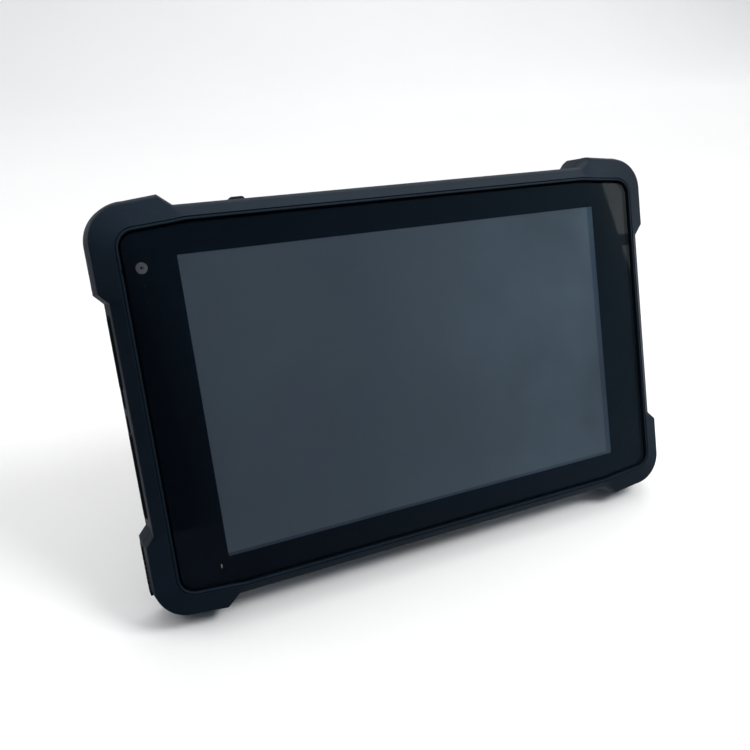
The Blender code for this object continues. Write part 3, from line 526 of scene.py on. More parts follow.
def front_frame():
    """Bezel: a ridge round the glass, a fine groove, the sloping face and the bumper fronts."""
    seam, step, ledge = -8.8 * MM, -4.4 * MM, -2.9 * MM
    window = (93.0 * MM, 58.1 * MM, 1.5 * MM)
    slope_top = glass_level(GLASS_GAP + 1.68 * MM, 0.64 * MM)
    slope_end = level(110.35 * MM, 69.85 * MM, 12.4 * MM, -2.65 * MM, BUMP, FLARE, -2.0 * MM)
    shoulder = level(110.7 * MM, 71.1 * MM, 13.2 * MM, -5.0 * MM, BUMP, FLARE)
    side = level(SIDE_X - 0.4 * MM, SIDE_Y, 13.4 * MM, seam, SEAM_BUMP, FLARE)
    # Growth past the gap and height, in mm: up the lip, over the ridge and through the groove.
    lip = [(0.38, -2.9), (0.38, 0.55), (0.43, 0.72), (0.56, 0.81), (0.74, 0.81), (1.08, 0.72)]
    lip += [(1.20, 0.62), (1.26, 0.36), (1.38, 0.30), (1.50, 0.40), (1.56, 0.60)]
    levels = [
        level(*CAVITY, seam),
        level(*CAVITY, step),
        level(*window, step),
        level(*window, ledge),
        *(glass_level(GLASS_GAP + grow, z) for grow, z in in_mm(lip)),
        slope_top,
        *eased(slope_top, slope_end, shoulder, 0.07, 0.2),
        *eased(slope_end, shoulder, side, 0.4, 0.3),
        side,
    ]
    obj = piece("bezel", loft(levels, True), None)
    notch = [(-1.6 * MM, 0), (0.6 * MM, 0), (1.2 * MM, 0.15 * MM)]
    shape(obj, stack((-104.6 * MM, 50.75 * MM), (0.6 * MM, 0.45 * MM), 0.2 * MM, notch))
    finish_mesh(obj, MATS["casing"], 38)
    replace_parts(obj, "front_frame")


def eased(before, at, after, back, on):
    """The outline at, eased into three that round the corner between its two neighbours."""
    start = [p.lerp(q, back) for p, q in zip(at, before)]
    end = [p.lerp(q, on) for p, q in zip(at, after)]
    middle = [(p + q) * 0.25 + r * 0.5 for p, q, r in zip(start, end, at)]
    return [start, middle, end]


def rear_shell():
    """Back, side walls and rear bumpers, with the stand's bed, bays, pockets and holes."""
    front, under = SHELL_FRONT, SHELL_FLOOR - 0.5 * MM
    back_y = 69.5 * MM
    # The back edges of the bumpers reach the floor's plane, so that the tablet stands on them.
    foot = SIDE_Y + 0.6 * MM + BUMP[1]
    rise = foot + (BACK + FOOT_BEHIND) * math.tan(LEAN) - back_y
    widest = (SIDE_X + 0.5 * MM, SIDE_Y + 0.6 * MM, 13.8 * MM)
    levels = [
        level(CAVITY[0] - 0.5 * MM, CAVITY[1] - 0.5 * MM, CAVITY[2], SHELL_FLOOR),
        level(*CAVITY, front),
        level(SIDE_X - 0.6 * MM, SIDE_Y - 0.2 * MM, 13.2 * MM, front, SEAM_BUMP, FLARE),
        level(SIDE_X - 0.4 * MM, SIDE_Y, 13.4 * MM, front - 0.2 * MM, SEAM_BUMP, FLARE),
        level(*widest, -FOOT_BEHIND, BUMP, FLARE, low_flare=0),
        level(109.4 * MM, back_y, 12.8 * MM, BACK, (3.0 * MM, rise), FLARE, low_flare=0),
    ]
    shell = piece("back_casing", loft(levels, False), None)
    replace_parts(shell, "rear_shell")
    stand_well = block((-51 * MM, 51 * MM), (-67.1 * MM, 15 * MM), (-16.1 * MM, under))
    shape(shell, stand_well, "UNION")
    battery_well = [(-16.9 * MM, 0), (under, 0)]
    shape(shell, stack((0, 40 * MM), (69 * MM, 24.6 * MM), 3 * MM, battery_well), "UNION")
    posts = bmesh.new()
    for at in CASE_SCREWS:
        turned(at, [(front, 3.3 * MM), (under, 3.3 * MM)], bm=posts)
    for at in STRAP_INSERTS:
        turned(at, [(-14.6 * MM, 5.2 * MM), (under, 5.2 * MM)], bm=posts)
    shape(shell, posts, "UNION")
    for cutter in (stand_bed(), back_openings(), side_pockets(), side_holes(), grip_grooves()):
        shape(shell, cutter)
    finish_mesh(shell, MATS["casing"])


def finish_mesh(obj, material, smooth=32):
    """After cutting: tidies near-double points, then sets shading and material afresh."""
    bm = bmesh.new()
    bm.from_mesh(obj.data)
    bmesh.ops.remove_doubles(bm, verts=bm.verts, dist=2e-6)
    bmesh.ops.recalc_face_normals(bm, faces=bm.faces)
    bm.to_mesh(obj.data)
    bm.free()
    obj.data.materials.clear()
    obj.data.materials.append(material)
    obj.data.shade_smooth()
    obj.data.set_sharp_from_angle(angle=math.radians(smooth))
    flat_faces(obj)


def stand_bed():
    """The kickstand's bed, open at the bottom edge, with a round trough for its knuckle."""
    y, z, lid = HINGE_Y, HINGE_Z, -18.25 * MM
    out, open_end, trough, half = BACK - 1 * MM, -80 * MM, 2.2 * MM, 47.4 * MM
    points = [(open_end, out), (y + trough, out), (y + trough, z)]
    points += [(y + trough * math.cos(t), z + trough * math.sin(t)) for t in (0.4, 0.8, 1.2)]
    points += [(y, z + trough), (y - 3 * MM, z + trough), (y - 4 * MM, lid), (open_end, lid)]
    bm = prism(points, -half, half, "x")
    for side in (-1, 1):
        ends = sorted((side * 40 * MM, side * 54.2 * MM))
        prism(circle((y, z), 0.9 * MM, 16), *ends, "x", bm)
    dish = [(out, 1.6 * MM), (BACK, 0.9 * MM), (BAY_FLOOR, 0)]
    stack((0, -69 * MM), (11 * MM, 5 * MM), 3 * MM, dish, bm=bm)
    return bm


def round_mouth(at, mouth, radius, floor, bm):
    """A round well in the back, wider at its mouth by a small bevel."""
    bevel = mouth - radius
    steps = [(BACK - 1 * MM, mouth), (BACK, mouth), (BACK + bevel, radius), (floor, radius)]
    turned(at, steps, bm=bm)


def back_openings():
    """Bays, screw wells and windows in the back, each with a small bevel round its mouth."""
    bm = bmesh.new()
    out, inside = BACK - 1 * MM, -17 * MM
    bay = (0, 40 * MM)
    rim = [(out, 0.35 * MM), (BACK, 0.3 * MM), (BACK + 0.3 * MM, 0), (BAY_FLOOR, 0)]
    stack(bay, (66 * MM, 23 * MM), 3 * MM, rim, bm=bm)
    stack(bay, (58.5 * MM, 16 * MM), 2 * MM, [(-18.95 * MM, 0), (-10 * MM, 0)], bm=bm)
    for at in CASE_SCREWS:
        round_mouth(at, 3 * MM, 2.7 * MM, -19.4 * MM, bm)
        turned(at, [(-19.5 * MM, 1.5 * MM), (-8.3 * MM, 1.5 * MM)], bm=bm, segments=20)
    for at in cover_screw_places():
        turned(at, [(-19 * MM, 1.1 * MM), (-16 * MM, 1.1 * MM)], bm=bm, segments=16)
    for at in STRAP_INSERTS:
        round_mouth(at, 3.6 * MM, 3.2 * MM, -16.2 * MM, bm)
    round_mouth(CAMERA_AT, 6.3 * MM, 6 * MM, BACK + 1 * MM, bm)
    turned(CAMERA_AT, [(BACK + 0.9 * MM, 3.6 * MM), (inside, 3.6 * MM)], bm=bm)
    round_mouth(FLASH_AT, 2.9 * MM, 2.6 * MM, BACK + 0.8 * MM, bm)
    turned(FLASH_AT, [(BACK + 0.7 * MM, 1.6 * MM), (inside, 1.6 * MM)], bm=bm)
    rim = [(out, 0.3 * MM), (BACK, 0.3 * MM), (BACK + 0.3 * MM, 0), (BACK + 0.9 * MM, 0)]
    stack(SPEAKER_AT, (11 * MM, 4 * MM), 2 * MM, rim, bm=bm)
    stack(SPEAKER_AT, (8.5 * MM, 2.5 * MM), 1.5 * MM, [(BACK + 0.8 * MM, 0), (inside, 0)], bm=bm)
    return bm


def side_pockets():
    """Port pockets and finger notches at the left, the strap anchor's pocket and the dock's."""
    bm = bmesh.new()
    out, wall = -130 * MM, -111.55 * MM
    middle = (PORT_Z[0] + PORT_Z[1]) / 2
    tall = (PORT_Z[1] - PORT_Z[0]) / 2 + 0.25 * MM
    rim = [(out, 0.25 * MM), (wall - 0.1 * MM, 0.25 * MM), (wall + 0.15 * MM, 0), (-109.2 * MM, 0)]
    for low, high in ((10.75 * MM, 36.75 * MM), (-37.05 * MM, -5.25 * MM)):
        stack(((low + high) / 2, middle), ((high - low) / 2, tall), 0.5 * MM, rim, "x", bm)
    scoop = [(out, 0.9 * MM), (wall - 0.2 * MM, 0.9 * MM), (-110.3 * MM, 0)]
    for low, high in ((3.8 * MM, 11 * MM), (-5.4 * MM, 0.5 * MM)):
        stack(((low + high) / 2, middle), ((high - low) / 2, 2.1 * MM), 1.2 * MM, scoop, "x", bm)
    for y in TRUNNIONS_Y:
        prism(circle((TRUNNION_X, y), 0.75 * MM, 16), -18.15 * MM, -9.95 * MM, bm=bm)
    strap = [(out, 0), (-112.6 * MM, 0)]
    stack((-55.5 * MM, -14.05 * MM), (9.65 * MM, 3.6 * MM), 0.3 * MM, strap, "x", bm)
    dock = [(-80 * MM, 0.4 * MM), (-72.1 * MM, 0.4 * MM), (-71.6 * MM, 0), (-70.2 * MM, 0)]
    stack((0, KEY_Z), (19.3 * MM, 2.9 * MM), 1.5 * MM, dock, "y", bm)
    return bm


def side_holes():
    """Holes through the side walls for the buttons, the ports and the dock contacts."""
    bm = bmesh.new()
    for centre, half, tall in PORTS.values():
        radius = min(tall - 0.1 * MM, 1.5 * MM)
        size = (half + 0.15 * MM, tall + 0.15 * MM)
        stack((centre, KEY_Z), size, radius, [(-110 * MM, 0), (-100 * MM, 0)], "x", bm)
    rim = [(60 * MM, 0), (71.35 * MM, 0), (71.85 * MM, 0.35 * MM), (80 * MM, 0.35 * MM)]
    stack((POWER_X, KEY_Z), (3.1 * MM, 1.85 * MM), 0.45 * MM, rim, "y", bm)
    rim = [(100 * MM, 0), (111.15 * MM, 0), (111.75 * MM, 0.45 * MM), (120 * MM, 0.45 * MM)]
    for centre, half in ((12 * MM, 11 * MM), (-14 * MM, 4.5 * MM)):
        stack((centre, KEY_Z), (half, 1.9 * MM), 1.5 * MM, rim, "x", bm)
    stack((0, KEY_Z), (16.2 * MM, 1.9 * MM), 1 * MM, [(-75 * MM, 0), (-60 * MM, 0)], "y", bm)
    return bm


def grip_grooves():
    """Shallow grooves that a hand feels on the back: beside the stand and across each bumper."""
    bm = bmesh.new()
    cross = [(BACK - 1 * MM, 0.5 * MM), (BACK, 0.45 * MM), (BACK + 0.5 * MM, 0)]
    for side in (-1, 1):
        for i in range(5):
            y = (-50 + i * 7.0) * MM
            if side > 0 and abs(y - SPEAKER_AT[1]) < 8 * MM:
                continue
            stack((side * 58.5 * MM, y), (6.0 * MM, 0.5 * MM), 0.5 * MM, cross, bm=bm, segments=4)
        for end in (-1, 1):
            for i in range(3):
                at = (side * 108.2 * MM, end * (48.5 + i * 4.2) * MM)
                stack(at, (2.6 * MM, 0.45 * MM), 0.45 * MM, cross, bm=bm, segments=4)
    return bm


# ---- Glass, display and front camera ------------------------------------------------------------


def glass_and_display():
    cover_glass()
    display()
    front_camera()


def cover_glass():
    """Clear glass whose sides and rounded edges are painted dark as shade, and the ink behind it
    with its openings.
    """
    rows = in_mm([(0, -1.8), (0, -0.12), (-0.04, -0.03), (-0.12, 0)])
    sheet = loft([glass_level(*row) for row in rows], False)
    glass = piece("glass_sheet", sheet, MATS["glass"], smooth=60)
    # The sides and rounded edges take the dark ink: painted shade, kept dark and without
    # highlights.
    glass.data.materials.append(MATS["ink"])
    for face in glass.data.polygons:
        face.material_index = 1 if abs(face.normal.z) < 0.95 else 0
    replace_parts(glass, "cover_glass")
    rows = in_mm([(-0.03, -1.87), (-0.03, -1.82)])
    ink = piece("glass_border", loft([glass_level(*row) for row in rows], False), None)
    low, high = -3 * MM, 0
    straight = [(low, 0), (high, 0)]
    holes = stack((0.12 * MM, -0.15 * MM), (86.48 * MM, 54.25 * MM), 0.25 * MM, straight)
    turned(FRONT_CAMERA_AT, [(low, 1.95 * MM), (high, 1.95 * MM)], bm=holes, segments=48)
    for y in SENSOR_EYES:
        turned((FRONT_CAMERA_AT[0], y), [(low, 0.62 * MM), (high, 0.62 * MM)], bm=holes)
    stack(STATUS_LIGHT_AT, (0.17 * MM, 0.75 * MM), 0.15 * MM, straight, bm=holes)
    shape(ink, holes)
    finish_mesh(ink, MATS["ink"])


def display():
    """The panel, its lit face close behind the glass, and the status light beside it."""
    steps = [(-5.2, 0), (-2.45, 0), (-2.3, -0.15), (-2.3, -1.2), (-2.05, -1.35), (-2.02, -1.4)]
    panel = stack((0, 0), (92.2 * MM, 57.3 * MM), 1 * MM, in_mm(steps))
    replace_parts(piece("display_stack", panel, MATS["panel_edge"]), "display_panel")
    steps = in_mm([(-2.04, 0), (-1.96, 0), (-1.93, -0.03)])
    screen = stack((-1.8 * MM, 0.9 * MM), (85.85 * MM, 54.1 * MM), 0.05 * MM, steps)
    piece("display_screen", screen, MATS["display"])
    steps = in_mm([(-2.3, 0), (-1.98, 0), (-1.94, -0.05)])
    guide = stack(STATUS_LIGHT_AT, (0.5 * MM, 1.1 * MM), 0.4 * MM, steps)
    piece("status_light", guide, MATS["lamp"])


def front_camera():
    """The camera's ring, housing and lens, and the light sensor's two eyes."""
    x, y = FRONT_CAMERA_AT
    steps = [(-2.5, 2.3), (-1.98, 2.3), (-1.94, 2.24), (-1.94, 0.62), (-2.1, 0.5), (-2.4, 0.48)]
    ring = turned((x, y), in_mm(steps), segments=48)
    piece("camera_bezel", ring, MATS["camera_ring"], smooth=30)
    half = 2.9 * MM
    body = block((x - half, x + half), (y - half, y + half), (-5.2 * MM, -2.45 * MM))
    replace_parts(piece("camera_housing", body, MATS["dark_metal"], bevel=0.3 * MM), "front_camera")
    dome = in_mm([(-2.38, 0.46), (-2.28, 0.42), (-2.22, 0.3), (-2.2, 0.1)])
    piece("camera_pupil", turned((x, y), dome), MATS["lens"])
    dome = in_mm([(-2.6, 0.9), (-1.99, 0.9), (-1.95, 0.8)])
    for i, eye_y in enumerate(SENSOR_EYES):
        piece(f"sensor_eye_{i + 1}", turned((x, eye_y), dome), MATS["eye"])
    body = block((x - 1.8 * MM, x + 1.8 * MM), (38.2 * MM, 46.6 * MM), (-3.6 * MM, -2.4 * MM))
    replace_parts(piece("sensor_housing", body, MATS["dark_metal"], bevel=0.2 * MM), "light_sensor")


# ---- Side pieces --------------------------------------------------------------------------------


def port_cover(name, node, body, span, hinge_y, tab_at):
    """Rubber cover with a raised rim, three thumb bars at the notch end, and its trunnions."""
    centre, middle = sum(span) / 2, (PORT_Z[0] + PORT_Z[1]) / 2
    half, tall = (span[1] - span[0]) / 2, (PORT_Z[1] - PORT_Z[0]) / 2
    steps = [(-110.2, -0.15), (-110.35, 0), (-111.65, 0), (-111.82, -0.08), (-111.9, -0.28)]
    steps += [(-111.9, -0.75), (-111.8, -0.9)]
    cover = stack((centre, middle), (half, tall), 0.9 * MM, in_mm(steps), "x")
    cover = piece(name, cover, None, body)
    extra = prism(circle((TRUNNION_X, hinge_y), 0.55 * MM, 20), -17.9 * MM, -10.2 * MM)
    bar = in_mm([(-111.5, 0), (-111.84, 0), (-111.9, -0.1)])
    for i in range(3):
        y = tab_at + (i - 1) * 1.1 * MM
        stack((y, middle), (0.3 * MM, 1.9 * MM), 0.25 * MM, bar, "x", extra, 3)
    shape(cover, extra, "UNION")
    finish_mesh(cover, MATS["rubber"])
    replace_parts(cover, node)


def side_pieces():
    upper, lower = (11 * MM, 36.2 * MM), (-36.5 * MM, -5.5 * MM)
    names = ("upper_cover_rubber", "upper_port_cover", "upper_cover")
    port_cover(*names, upper, TRUNNIONS_Y[0], 14.2 * MM)
    names = ("lower_cover_rubber", "lower_port_cover", "lower_cover")
    port_cover(*names, lower, TRUNNIONS_Y[1], -8.7 * MM)
    strap_anchor()
    for name in ("power_button", "volume_rocker", "function_key"):
        soften(name, 0.3 * MM, 3)
    for name in PORTS:
        soften(name, 0.12 * MM)
    steps = in_mm([(-64, 0), (-70.7, 0), (-70.9, -0.2)])
    body = stack((0, KEY_Z), (16 * MM, 1.7 * MM), 0.8 * MM, steps, "y")
    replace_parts(piece("dock_block", body, MATS["dark_metal"]), "dock_connector")
    pin = in_mm([(-70.6, 0.78), (-71.2, 0.75), (-71.42, 0.6), (-71.5, 0.3)])
    pitch = 3.6
    for i in range(8):
        contact = turned(((i - 3.5) * pitch * MM, KEY_Z), pin, "y")
        piece(f"dock_contact_{i + 1}", contact, MATS["brass"])


def strap_anchor():
    """Ribbed insert in the lower left bumper, with a slot that a cord ties through."""
    low, high = -65.0 * MM, -46.0 * MM
    root, valley, crest = -112.75 * MM, -114.3 * MM, -115.0 * MM
    outline = [(root, low), (root, high), (-114.85 * MM, high), (crest, high - 0.3 * MM)]
    start, pitch, ribs = high - 5.0 * MM, 1.85 * MM, 7
    outline += [(crest, start)]
    for i in range(ribs):
        y = start - i * pitch
        outline += [(valley, y - 0.35 * MM), (valley, y - 0.75 * MM), (crest, y - 1.1 * MM)]
        outline += [(crest, y - pitch)] if i < ribs - 1 else []
    outline += [(-114.7 * MM, low)]
    anchor = piece("strap_lug", prism(outline, -17.5 * MM, -10.6 * MM), None)
    slot = (-116 * MM, -113.4 * MM), (high - 4.4 * MM, high - 1.4 * MM), (-16.4 * MM, -11.7 * MM)
    shape(anchor, block(*slot))
    finish_mesh(anchor, MATS["rubber"])
    rounded_edges(anchor, 0.12 * MM, 2, 40)
    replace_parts(anchor, "strap_anchor")


def soften(name, width, segments=2):
    """Rounds the edges of a carried-over CAD node."""
    node = frame["nodes"][name]
    weld = node.modifiers.new("weld", "WELD")
    weld.merge_threshold = 1e-6
    rounded_edges(node, width, segments, 35)


# ---- Back pieces --------------------------------------------------------------------------------


def kickstand_leg():
    """The leg with its knuckles, a ribbed sunken panel on its outer face and a relief inside."""
    place = PLACE @ Matrix.Translation((0, HINGE_Y, HINGE_Z)) @ Matrix.Rotation(STAND_OPEN, 4, "X")
    low, high, half, end = -1.7 * MM, 1.1 * MM, 47 * MM, -78.6 * MM
    top, cut_x, cut_y = -0.6 * MM, 6 * MM, 8 * MM
    outline = [(-half, top), (-half, end + cut_y), (-half + cut_x, end)]
    outline += [(half - cut_x, end), (half, end + cut_y), (half, top)]
    leg = piece("stand_leg", prism(outline, low, high), None, "kickstand_leg", place=place)
    shape(leg, prism(circle((0, 0), 1.7 * MM, 24), -half, half, "x"), "UNION")
    sunken = [(low - 1 * MM, 0), (low, 0), (low + 0.7 * MM, -0.3 * MM)]
    shape(leg, stack((0, -38 * MM), (40 * MM, 27 * MM), 4 * MM, sunken))
    middle, pitch = -36 * MM, 8.4
    rib = [(low + 0.8 * MM, 0), (low + 0.25 * MM, 0), (low + 0.1 * MM, -0.2 * MM)]
    ribs = bmesh.new()
    for i in range(9):
        at = ((i - 4) * pitch * MM, middle)
        stack(at, (1.1 * MM, 20 * MM), 1.0 * MM, rib, bm=ribs, segments=4)
    shape(leg, ribs, "UNION")
    relief = [(high - 0.5 * MM, 0), (high + 1 * MM, 0)]
    holes = stack((0, middle), (26 * MM, 7 * MM), 3 * MM, relief)
    for side in (-1, 1):
        pin = sorted((side * 40 * MM, side * 50 * MM))
        prism(circle((0, 0), 0.95 * MM, 16), *pin, "x", holes)
        for x in (14, 36):
            at = (side * x - 0.35) * MM, (side * x + 0.35) * MM
            block(at, (-0.9 * MM, 3 * MM), (-3 * MM, 3 * MM), holes)
    shape(leg, holes)
    finish_mesh(leg, MATS["dark_metal"])
    rounded_edges(leg, 0.22 * MM, 2, 35)
    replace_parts(leg, "kickstand")


def back_pieces():
    kickstand_leg()
    soften("stand_foot", 0.3 * MM, 3)
    soften("battery_cover", 0.25 * MM, 2)
    for name in frame["nodes"]:
        if "screw" in name or "insert" in name or name in ("rear_camera_ring", "flash_lens"):
            soften(name, 0.12 * MM)
    speaker_mesh()


def speaker_mesh():
    """A plate with three rows of eight slots."""
    steps = [(BACK + 0.75 * MM, 0), (BACK + 0.2 * MM, 0), (BACK + 0.1 * MM, -0.1 * MM)]
    grille = piece("speaker_mesh", stack(SPEAKER_AT, (10.8 * MM, 3.8 * MM), 1.9 * MM, steps), None)
    slots = bmesh.new()
    through = [(BACK - 1 * MM, 0), (BACK + 2 * MM, 0)]
    for i in range(3):
        for k in range(8):
            at = (SPEAKER_AT[0] + (k - 3.5) * 2.4 * MM, SPEAKER_AT[1] + (i - 1) * 2.0 * MM)
            stack(at, (0.75 * MM, 0.55 * MM), 0.5 * MM, through, bm=slots, segments=4)
    shape(grille, slots)
    finish_mesh(grille, MATS["dark_metal"])
    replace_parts(grille, "speaker_grille")


def build():
    repaint()
    front_frame()
    rear_shell()
    glass_and_display()
    side_pieces()
    back_pieces()


# ---- Setting ------------------------------------------------------------------------------------

# The camera in the tablet's frame: its place, where it looks and which way is up.
VIEW_FROM = (-117.52 * MM, 43.80 * MM, 249.1 * MM)
VIEW_FORWARD = Vector((0.35536, -0.15859, -0.92118))
VIEW_UP = Vector((0.17855, 0.97887, -0.09964))
SENSOR_WIDTH, FOCAL_LENGTH = 36, 34.11

# Each lamp's place, what it points at, its size in metres and its power in watts.
LAMPS = {
    "key": ((0.60, -0.53, 0.93), (0, 0, 0.03), (0.42, 0.42), 9.2),
    "top": ((0.1, 0.2, 1.3), (0, 0, 0), (1.1, 1.1), 1.5),
    "left": ((-0.8, 0.35, 0.7), (-0.35, 0.05, 0), (0.5, 0.5), 1.5),
    "backdrop": ((1.3, 1.7, 2.4), (1.2, 2.6, 0.6), (3.0, 1.5), 34),
}

# The floor, in metres: flat from y = FLOOR_FRONT to BEND_START, then bent up into a wall.
FLOOR_FRONT, BEND_START, BEND_RADIUS, WALL_TOP = -0.8, 1.6, 1.2, 3.0
FLOOR_HALF_WIDTH, BEND_STEPS = 4, 24
# Its tone by y as a share of BEND_START: darker just behind the object, a painted shadow.
FLOOR_TONES_WITH_SHADOW = [(0.0, 0.87), (0.1, 0.80), (0.3, 0.80), (0.6, 0.87)]
FLOOR_MOTTLE = [(0.3, (0.86, 0.86, 0.86)), (0.7, (0.88, 0.88, 0.88))]

# Brightness of the staged cards and cloths: the dark and the light tone of each.
DARK_CARD = ((0.030, 0.045, 0.07), (0.09, 0.14, 0.20))
WINDOW_CARD = ((0.44, 0.50, 0.52), (0.50, 0.56, 0.58))
FRONT_CLOTH = ((0.18, 0.21, 0.24), (0.48, 0.52, 0.56))
SIDE_CLOTH = ((0.06, 0.08, 0.105), (0.07, 0.09, 0.115))
LEFT_CLOTH = ((0.05, 0.07, 0.09), (0.50, 0.52, 0.54))
OVERHEAD_CARD = ((3.6, 3.7, 3.8), (4.2, 4.2, 4.2))
CLOTH_HEIGHT = 0.001

# The world is white to the sides of ROOM and behind, and dims towards it: ROOM is the direction of
# the dim room in front of the screen, and the stops go by how directly a ray looks that way.
ROOM = Vector((-0.45, -0.89, 0.10))
SKY_STOPS = (
    (0.00, (1.0, 0.985, 0.97)),
    (0.17, (0.36, 0.43, 0.50)),
    (0.39, (0.080, 0.132, 0.180)),
    (0.64, (0.039, 0.071, 0.114)),
    (0.82, (0.028, 0.050, 0.082)),
    (0.855, (0.010, 0.018, 0.030)),
    (1.00, (0.0065, 0.011, 0.018)),
)
# Between these two heights of a ray's direction the world turns white again, overhead.
CEILING = (0.60, 0.90)


def setting():
    view_camera()
    stage_pieces()
    world = bpy.data.worlds.new("studio")
    bpy.context.scene.world = world
    world.use_nodes = True
    studio_world(world.node_tree)
    for name, lamp in LAMPS.items():
        area_light(name, *lamp)


def view_camera():
    scene = bpy.context.scene
    scene.view_settings.view_transform = "Standard"
    data = bpy.data.cameras.new("view")
    data.sensor_width = SENSOR_WIDTH
    data.lens = FOCAL_LENGTH
    data.clip_start = 0.01
    camera = bpy.data.objects.new("view", data)
    scene.collection.objects.link(camera)
    right = VIEW_FORWARD.cross(VIEW_UP).normalized()
    turn = Matrix((right, VIEW_UP.normalized(), -VIEW_FORWARD)).transposed().to_4x4()
    camera.matrix_world = PLACE @ (Matrix.Translation(VIEW_FROM) @ turn)
    scene.camera = camera


def area_light(name, at, aim, size, power):
    data = bpy.data.lights.new(name, "AREA")
    data.shape = "RECTANGLE"
    data.size, data.size_y = size
    data.energy = power
    light = bpy.data.objects.new(name, data)
    bpy.context.scene.collection.objects.link(light)
    light.location = at
    light.rotation_euler = (Vector(aim) - Vector(at)).to_track_quat("-Z", "Y").to_euler()


def stage_pieces():
    """The floor, and cards and cloths for what the glass and the casing mirror.

    A cloth lies just over the floor. One that gives diffuse light is clear from below, so that the
    floor under it still takes all its light."""
    floor = floor_sweep()
    corners = upright((-0.4, 0.6), -0.17, (0.0005, 0.04))
    dark = glowing("card_cloth", *DARK_CARD, (-0.05, 0.25))
    card = sheet("dark_card", dark, [corners], ["diffuse"])
    panes = [upright((0.65, 0.85), -0.6, heights) for heights in ((0.15, 0.297), (0.315, 0.55))]
    window = sheet("window_card", glowing("window_glow", *WINDOW_CARD), panes, ["diffuse"])
    soft = seen_from_above(glowing("front_cloth_glow", *FRONT_CLOTH, (-0.13, 0.13)))
    corners = lying((-0.14, -0.8), (0.6, 0.01))
    front = sheet("front_cloth", soft, [corners], ["transmission"])
    dim = seen_from_above(glowing("side_cloth_glow", *SIDE_CLOTH))
    corners = lying((-0.9, -0.8), (-0.14, 0.35))
    side = sheet("side_cloth", dim, [corners], ["transmission", "glossy"])
    near = glowing("left_cloth_glow", *LEFT_CLOTH, (-0.42, -0.2))
    corners = lying((-1.6, -0.8), (-0.14, 0.8))
    left = sheet("left_cloth", near, [corners], ["transmission", "diffuse"])
    corners = ((-0.75, -0.65, 0.85), (0.2, -0.65, 0.85), (0.2, -0.3, 1.25), (-0.75, -0.3, 1.25))
    high = glowing("overhead_glow", *OVERHEAD_CARD)
    overhead = sheet("overhead_card", high, [corners], ["transmission", "diffuse"])


def floor_sweep():
    """A pale floor that bends up into a wall behind the object."""
    profile = [(FLOOR_FRONT, 0), (0, 0), (BEND_START, 0)]
    for i in range(1, BEND_STEPS + 1):
        turn = math.pi / 2 * i / BEND_STEPS
        rise = BEND_RADIUS - BEND_RADIUS * math.cos(turn)
        profile.append((BEND_START + BEND_RADIUS * math.sin(turn), rise))
    profile.append((BEND_START + BEND_RADIUS, WALL_TOP))
    bm = bmesh.new()
    ends = (-FLOOR_HALF_WIDTH, FLOOR_HALF_WIDTH)
    rows = [[bm.verts.new((x, y, z)) for x in ends] for y, z in profile]
    for low, high in zip(rows, rows[1:]):
        bm.faces.new((low[0], low[1], high[1], high[0]))
    return piece("floor", bm, floor_paint_with_shadow(), body=None, place=Matrix())


def floor_paint_with_shadow():
    n = Nodes("floor_paint_with_shadow")
    # The tone by y paints a shadow on the floor just behind the object.
    tone = n.ramp(n.span("Y", 0, BEND_START), FLOOR_TONES_WITH_SHADOW)
    mottled = n.ramp(n.noise(3, 2), FLOOR_MOTTLE)
    half = n.add("ShaderNodeValue")
    half.outputs[0].default_value = 0.5
    n.colour(n.mix(half.outputs[0], tone, mottled))
    return n.set(Roughness=0.8, Specular_IOR_Level=0.1).material


def upright(across, y, heights):
    """The corners of an upright sheet: its span in x, its place in y and its span in height."""
    (left, right), (low, high) = across, heights
    return (left, y, low), (right, y, low), (right, y, high), (left, y, high)


def lying(low, high):
    """The corners of a sheet just over the floor, from its lowest x and y to its highest."""
    corners = (low, (high[0], low[1]), high, (low[0], high[1]))
    return [(x, y, CLOTH_HEIGHT) for x, y in corners]


def sheet(name, material, quads, hidden_from):
    """Flat sheets that only bounced light meets, but none of the kinds in hidden_from."""
    bm = bmesh.new()
    for corners in quads:
        bm.faces.new([bm.verts.new(corner) for corner in corners])
    made = piece(name, bm, material, body=None, place=Matrix())
    for ray in ("camera", "shadow", *hidden_from):
        setattr(made, "visible_" + ray, False)
    return made


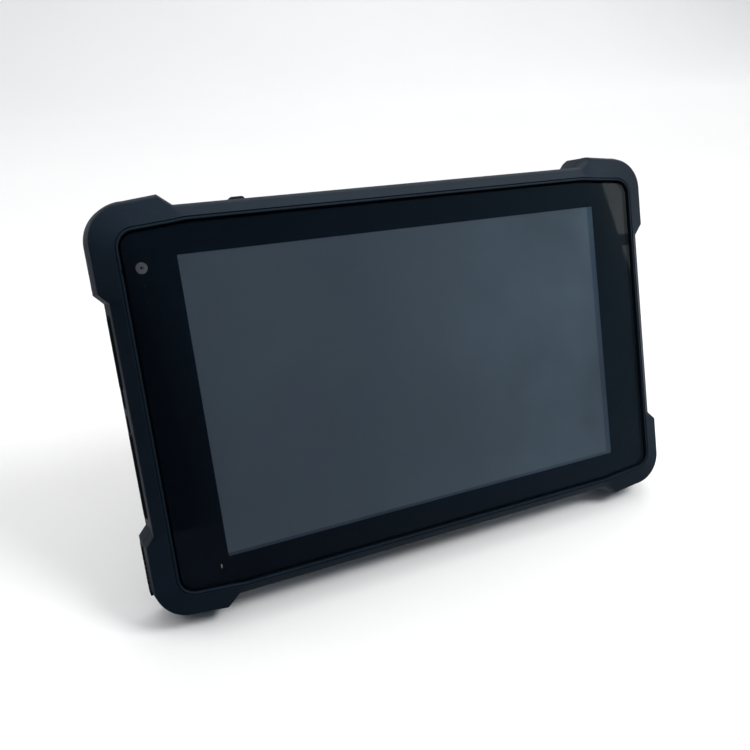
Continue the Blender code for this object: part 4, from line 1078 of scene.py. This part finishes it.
def seen_from_above(material):
    """Makes a sheet's under side clear."""
    tree = material.node_tree
    back = tree.nodes.new("ShaderNodeNewGeometry").outputs["Backfacing"]
    clear = tree.nodes.new("ShaderNodeBsdfTransparent")
    mixed = tree.nodes.new("ShaderNodeMixShader")
    tree.links.new(back, mixed.inputs[0])
    tree.links.new(tree.nodes["Principled BSDF"].outputs[0], mixed.inputs[1])
    tree.links.new(clear.outputs[0], mixed.inputs[2])
    tree.links.new(mixed.outputs[0], tree.nodes["Material Output"].inputs["Surface"])
    return material


def glowing(name, dark, light, along=None):
    """A glow that takes no light itself: cloudy or, with along, brighter from one x to another."""
    n = Nodes(name)
    factor = n.span("X", *along) if along else n.noise(5, 2)
    n.link(n.mix(factor, dark, light), n.shader.inputs["Emission Color"])
    constants = {"Emission_Strength": 1.0, "Base_Color": (0, 0, 0, 1), "Specular_IOR_Level": 0.0}
    return n.set(**constants).material


def studio_world(tree):
    """White behind, at the right and overhead, falling to a dim bluish room before the screen.

    The camera itself sees white all round."""
    add, link = tree.nodes.new, tree.links.new
    direction = add("ShaderNodeTexCoord").outputs["Generated"]
    towards = add("ShaderNodeVectorMath")
    towards.operation = "DOT_PRODUCT"
    towards.inputs[1].default_value = ROOM.normalized()
    link(direction, towards.inputs[0])
    sides = add("ShaderNodeValToRGB")
    set_stops(sides, SKY_STOPS)
    link(towards.outputs["Value"], sides.inputs["Fac"])
    split = add("ShaderNodeSeparateXYZ")
    link(direction, split.inputs["Vector"])
    rise = add("ShaderNodeMapRange")
    rise.interpolation_type = "SMOOTHSTEP"
    rise.inputs["From Min"].default_value, rise.inputs["From Max"].default_value = CEILING
    link(split.outputs["Z"], rise.inputs["Value"])
    overhead = add("ShaderNodeMix")
    overhead.data_type = "RGBA"
    link(rise.outputs["Result"], overhead.inputs[0])
    link(sides.outputs["Color"], overhead.inputs[6])
    overhead.inputs[7].default_value = (*SKY_STOPS[0][1], 1)
    path = add("ShaderNodeLightPath")
    shown = add("ShaderNodeMix")
    shown.data_type = "RGBA"
    link(path.outputs["Is Camera Ray"], shown.inputs[0])
    link(overhead.outputs[2], shown.inputs[6])
    shown.inputs[7].default_value = (1, 1, 1, 1)
    link(shown.outputs[2], tree.nodes["Background"].inputs["Color"])


build()
setting()
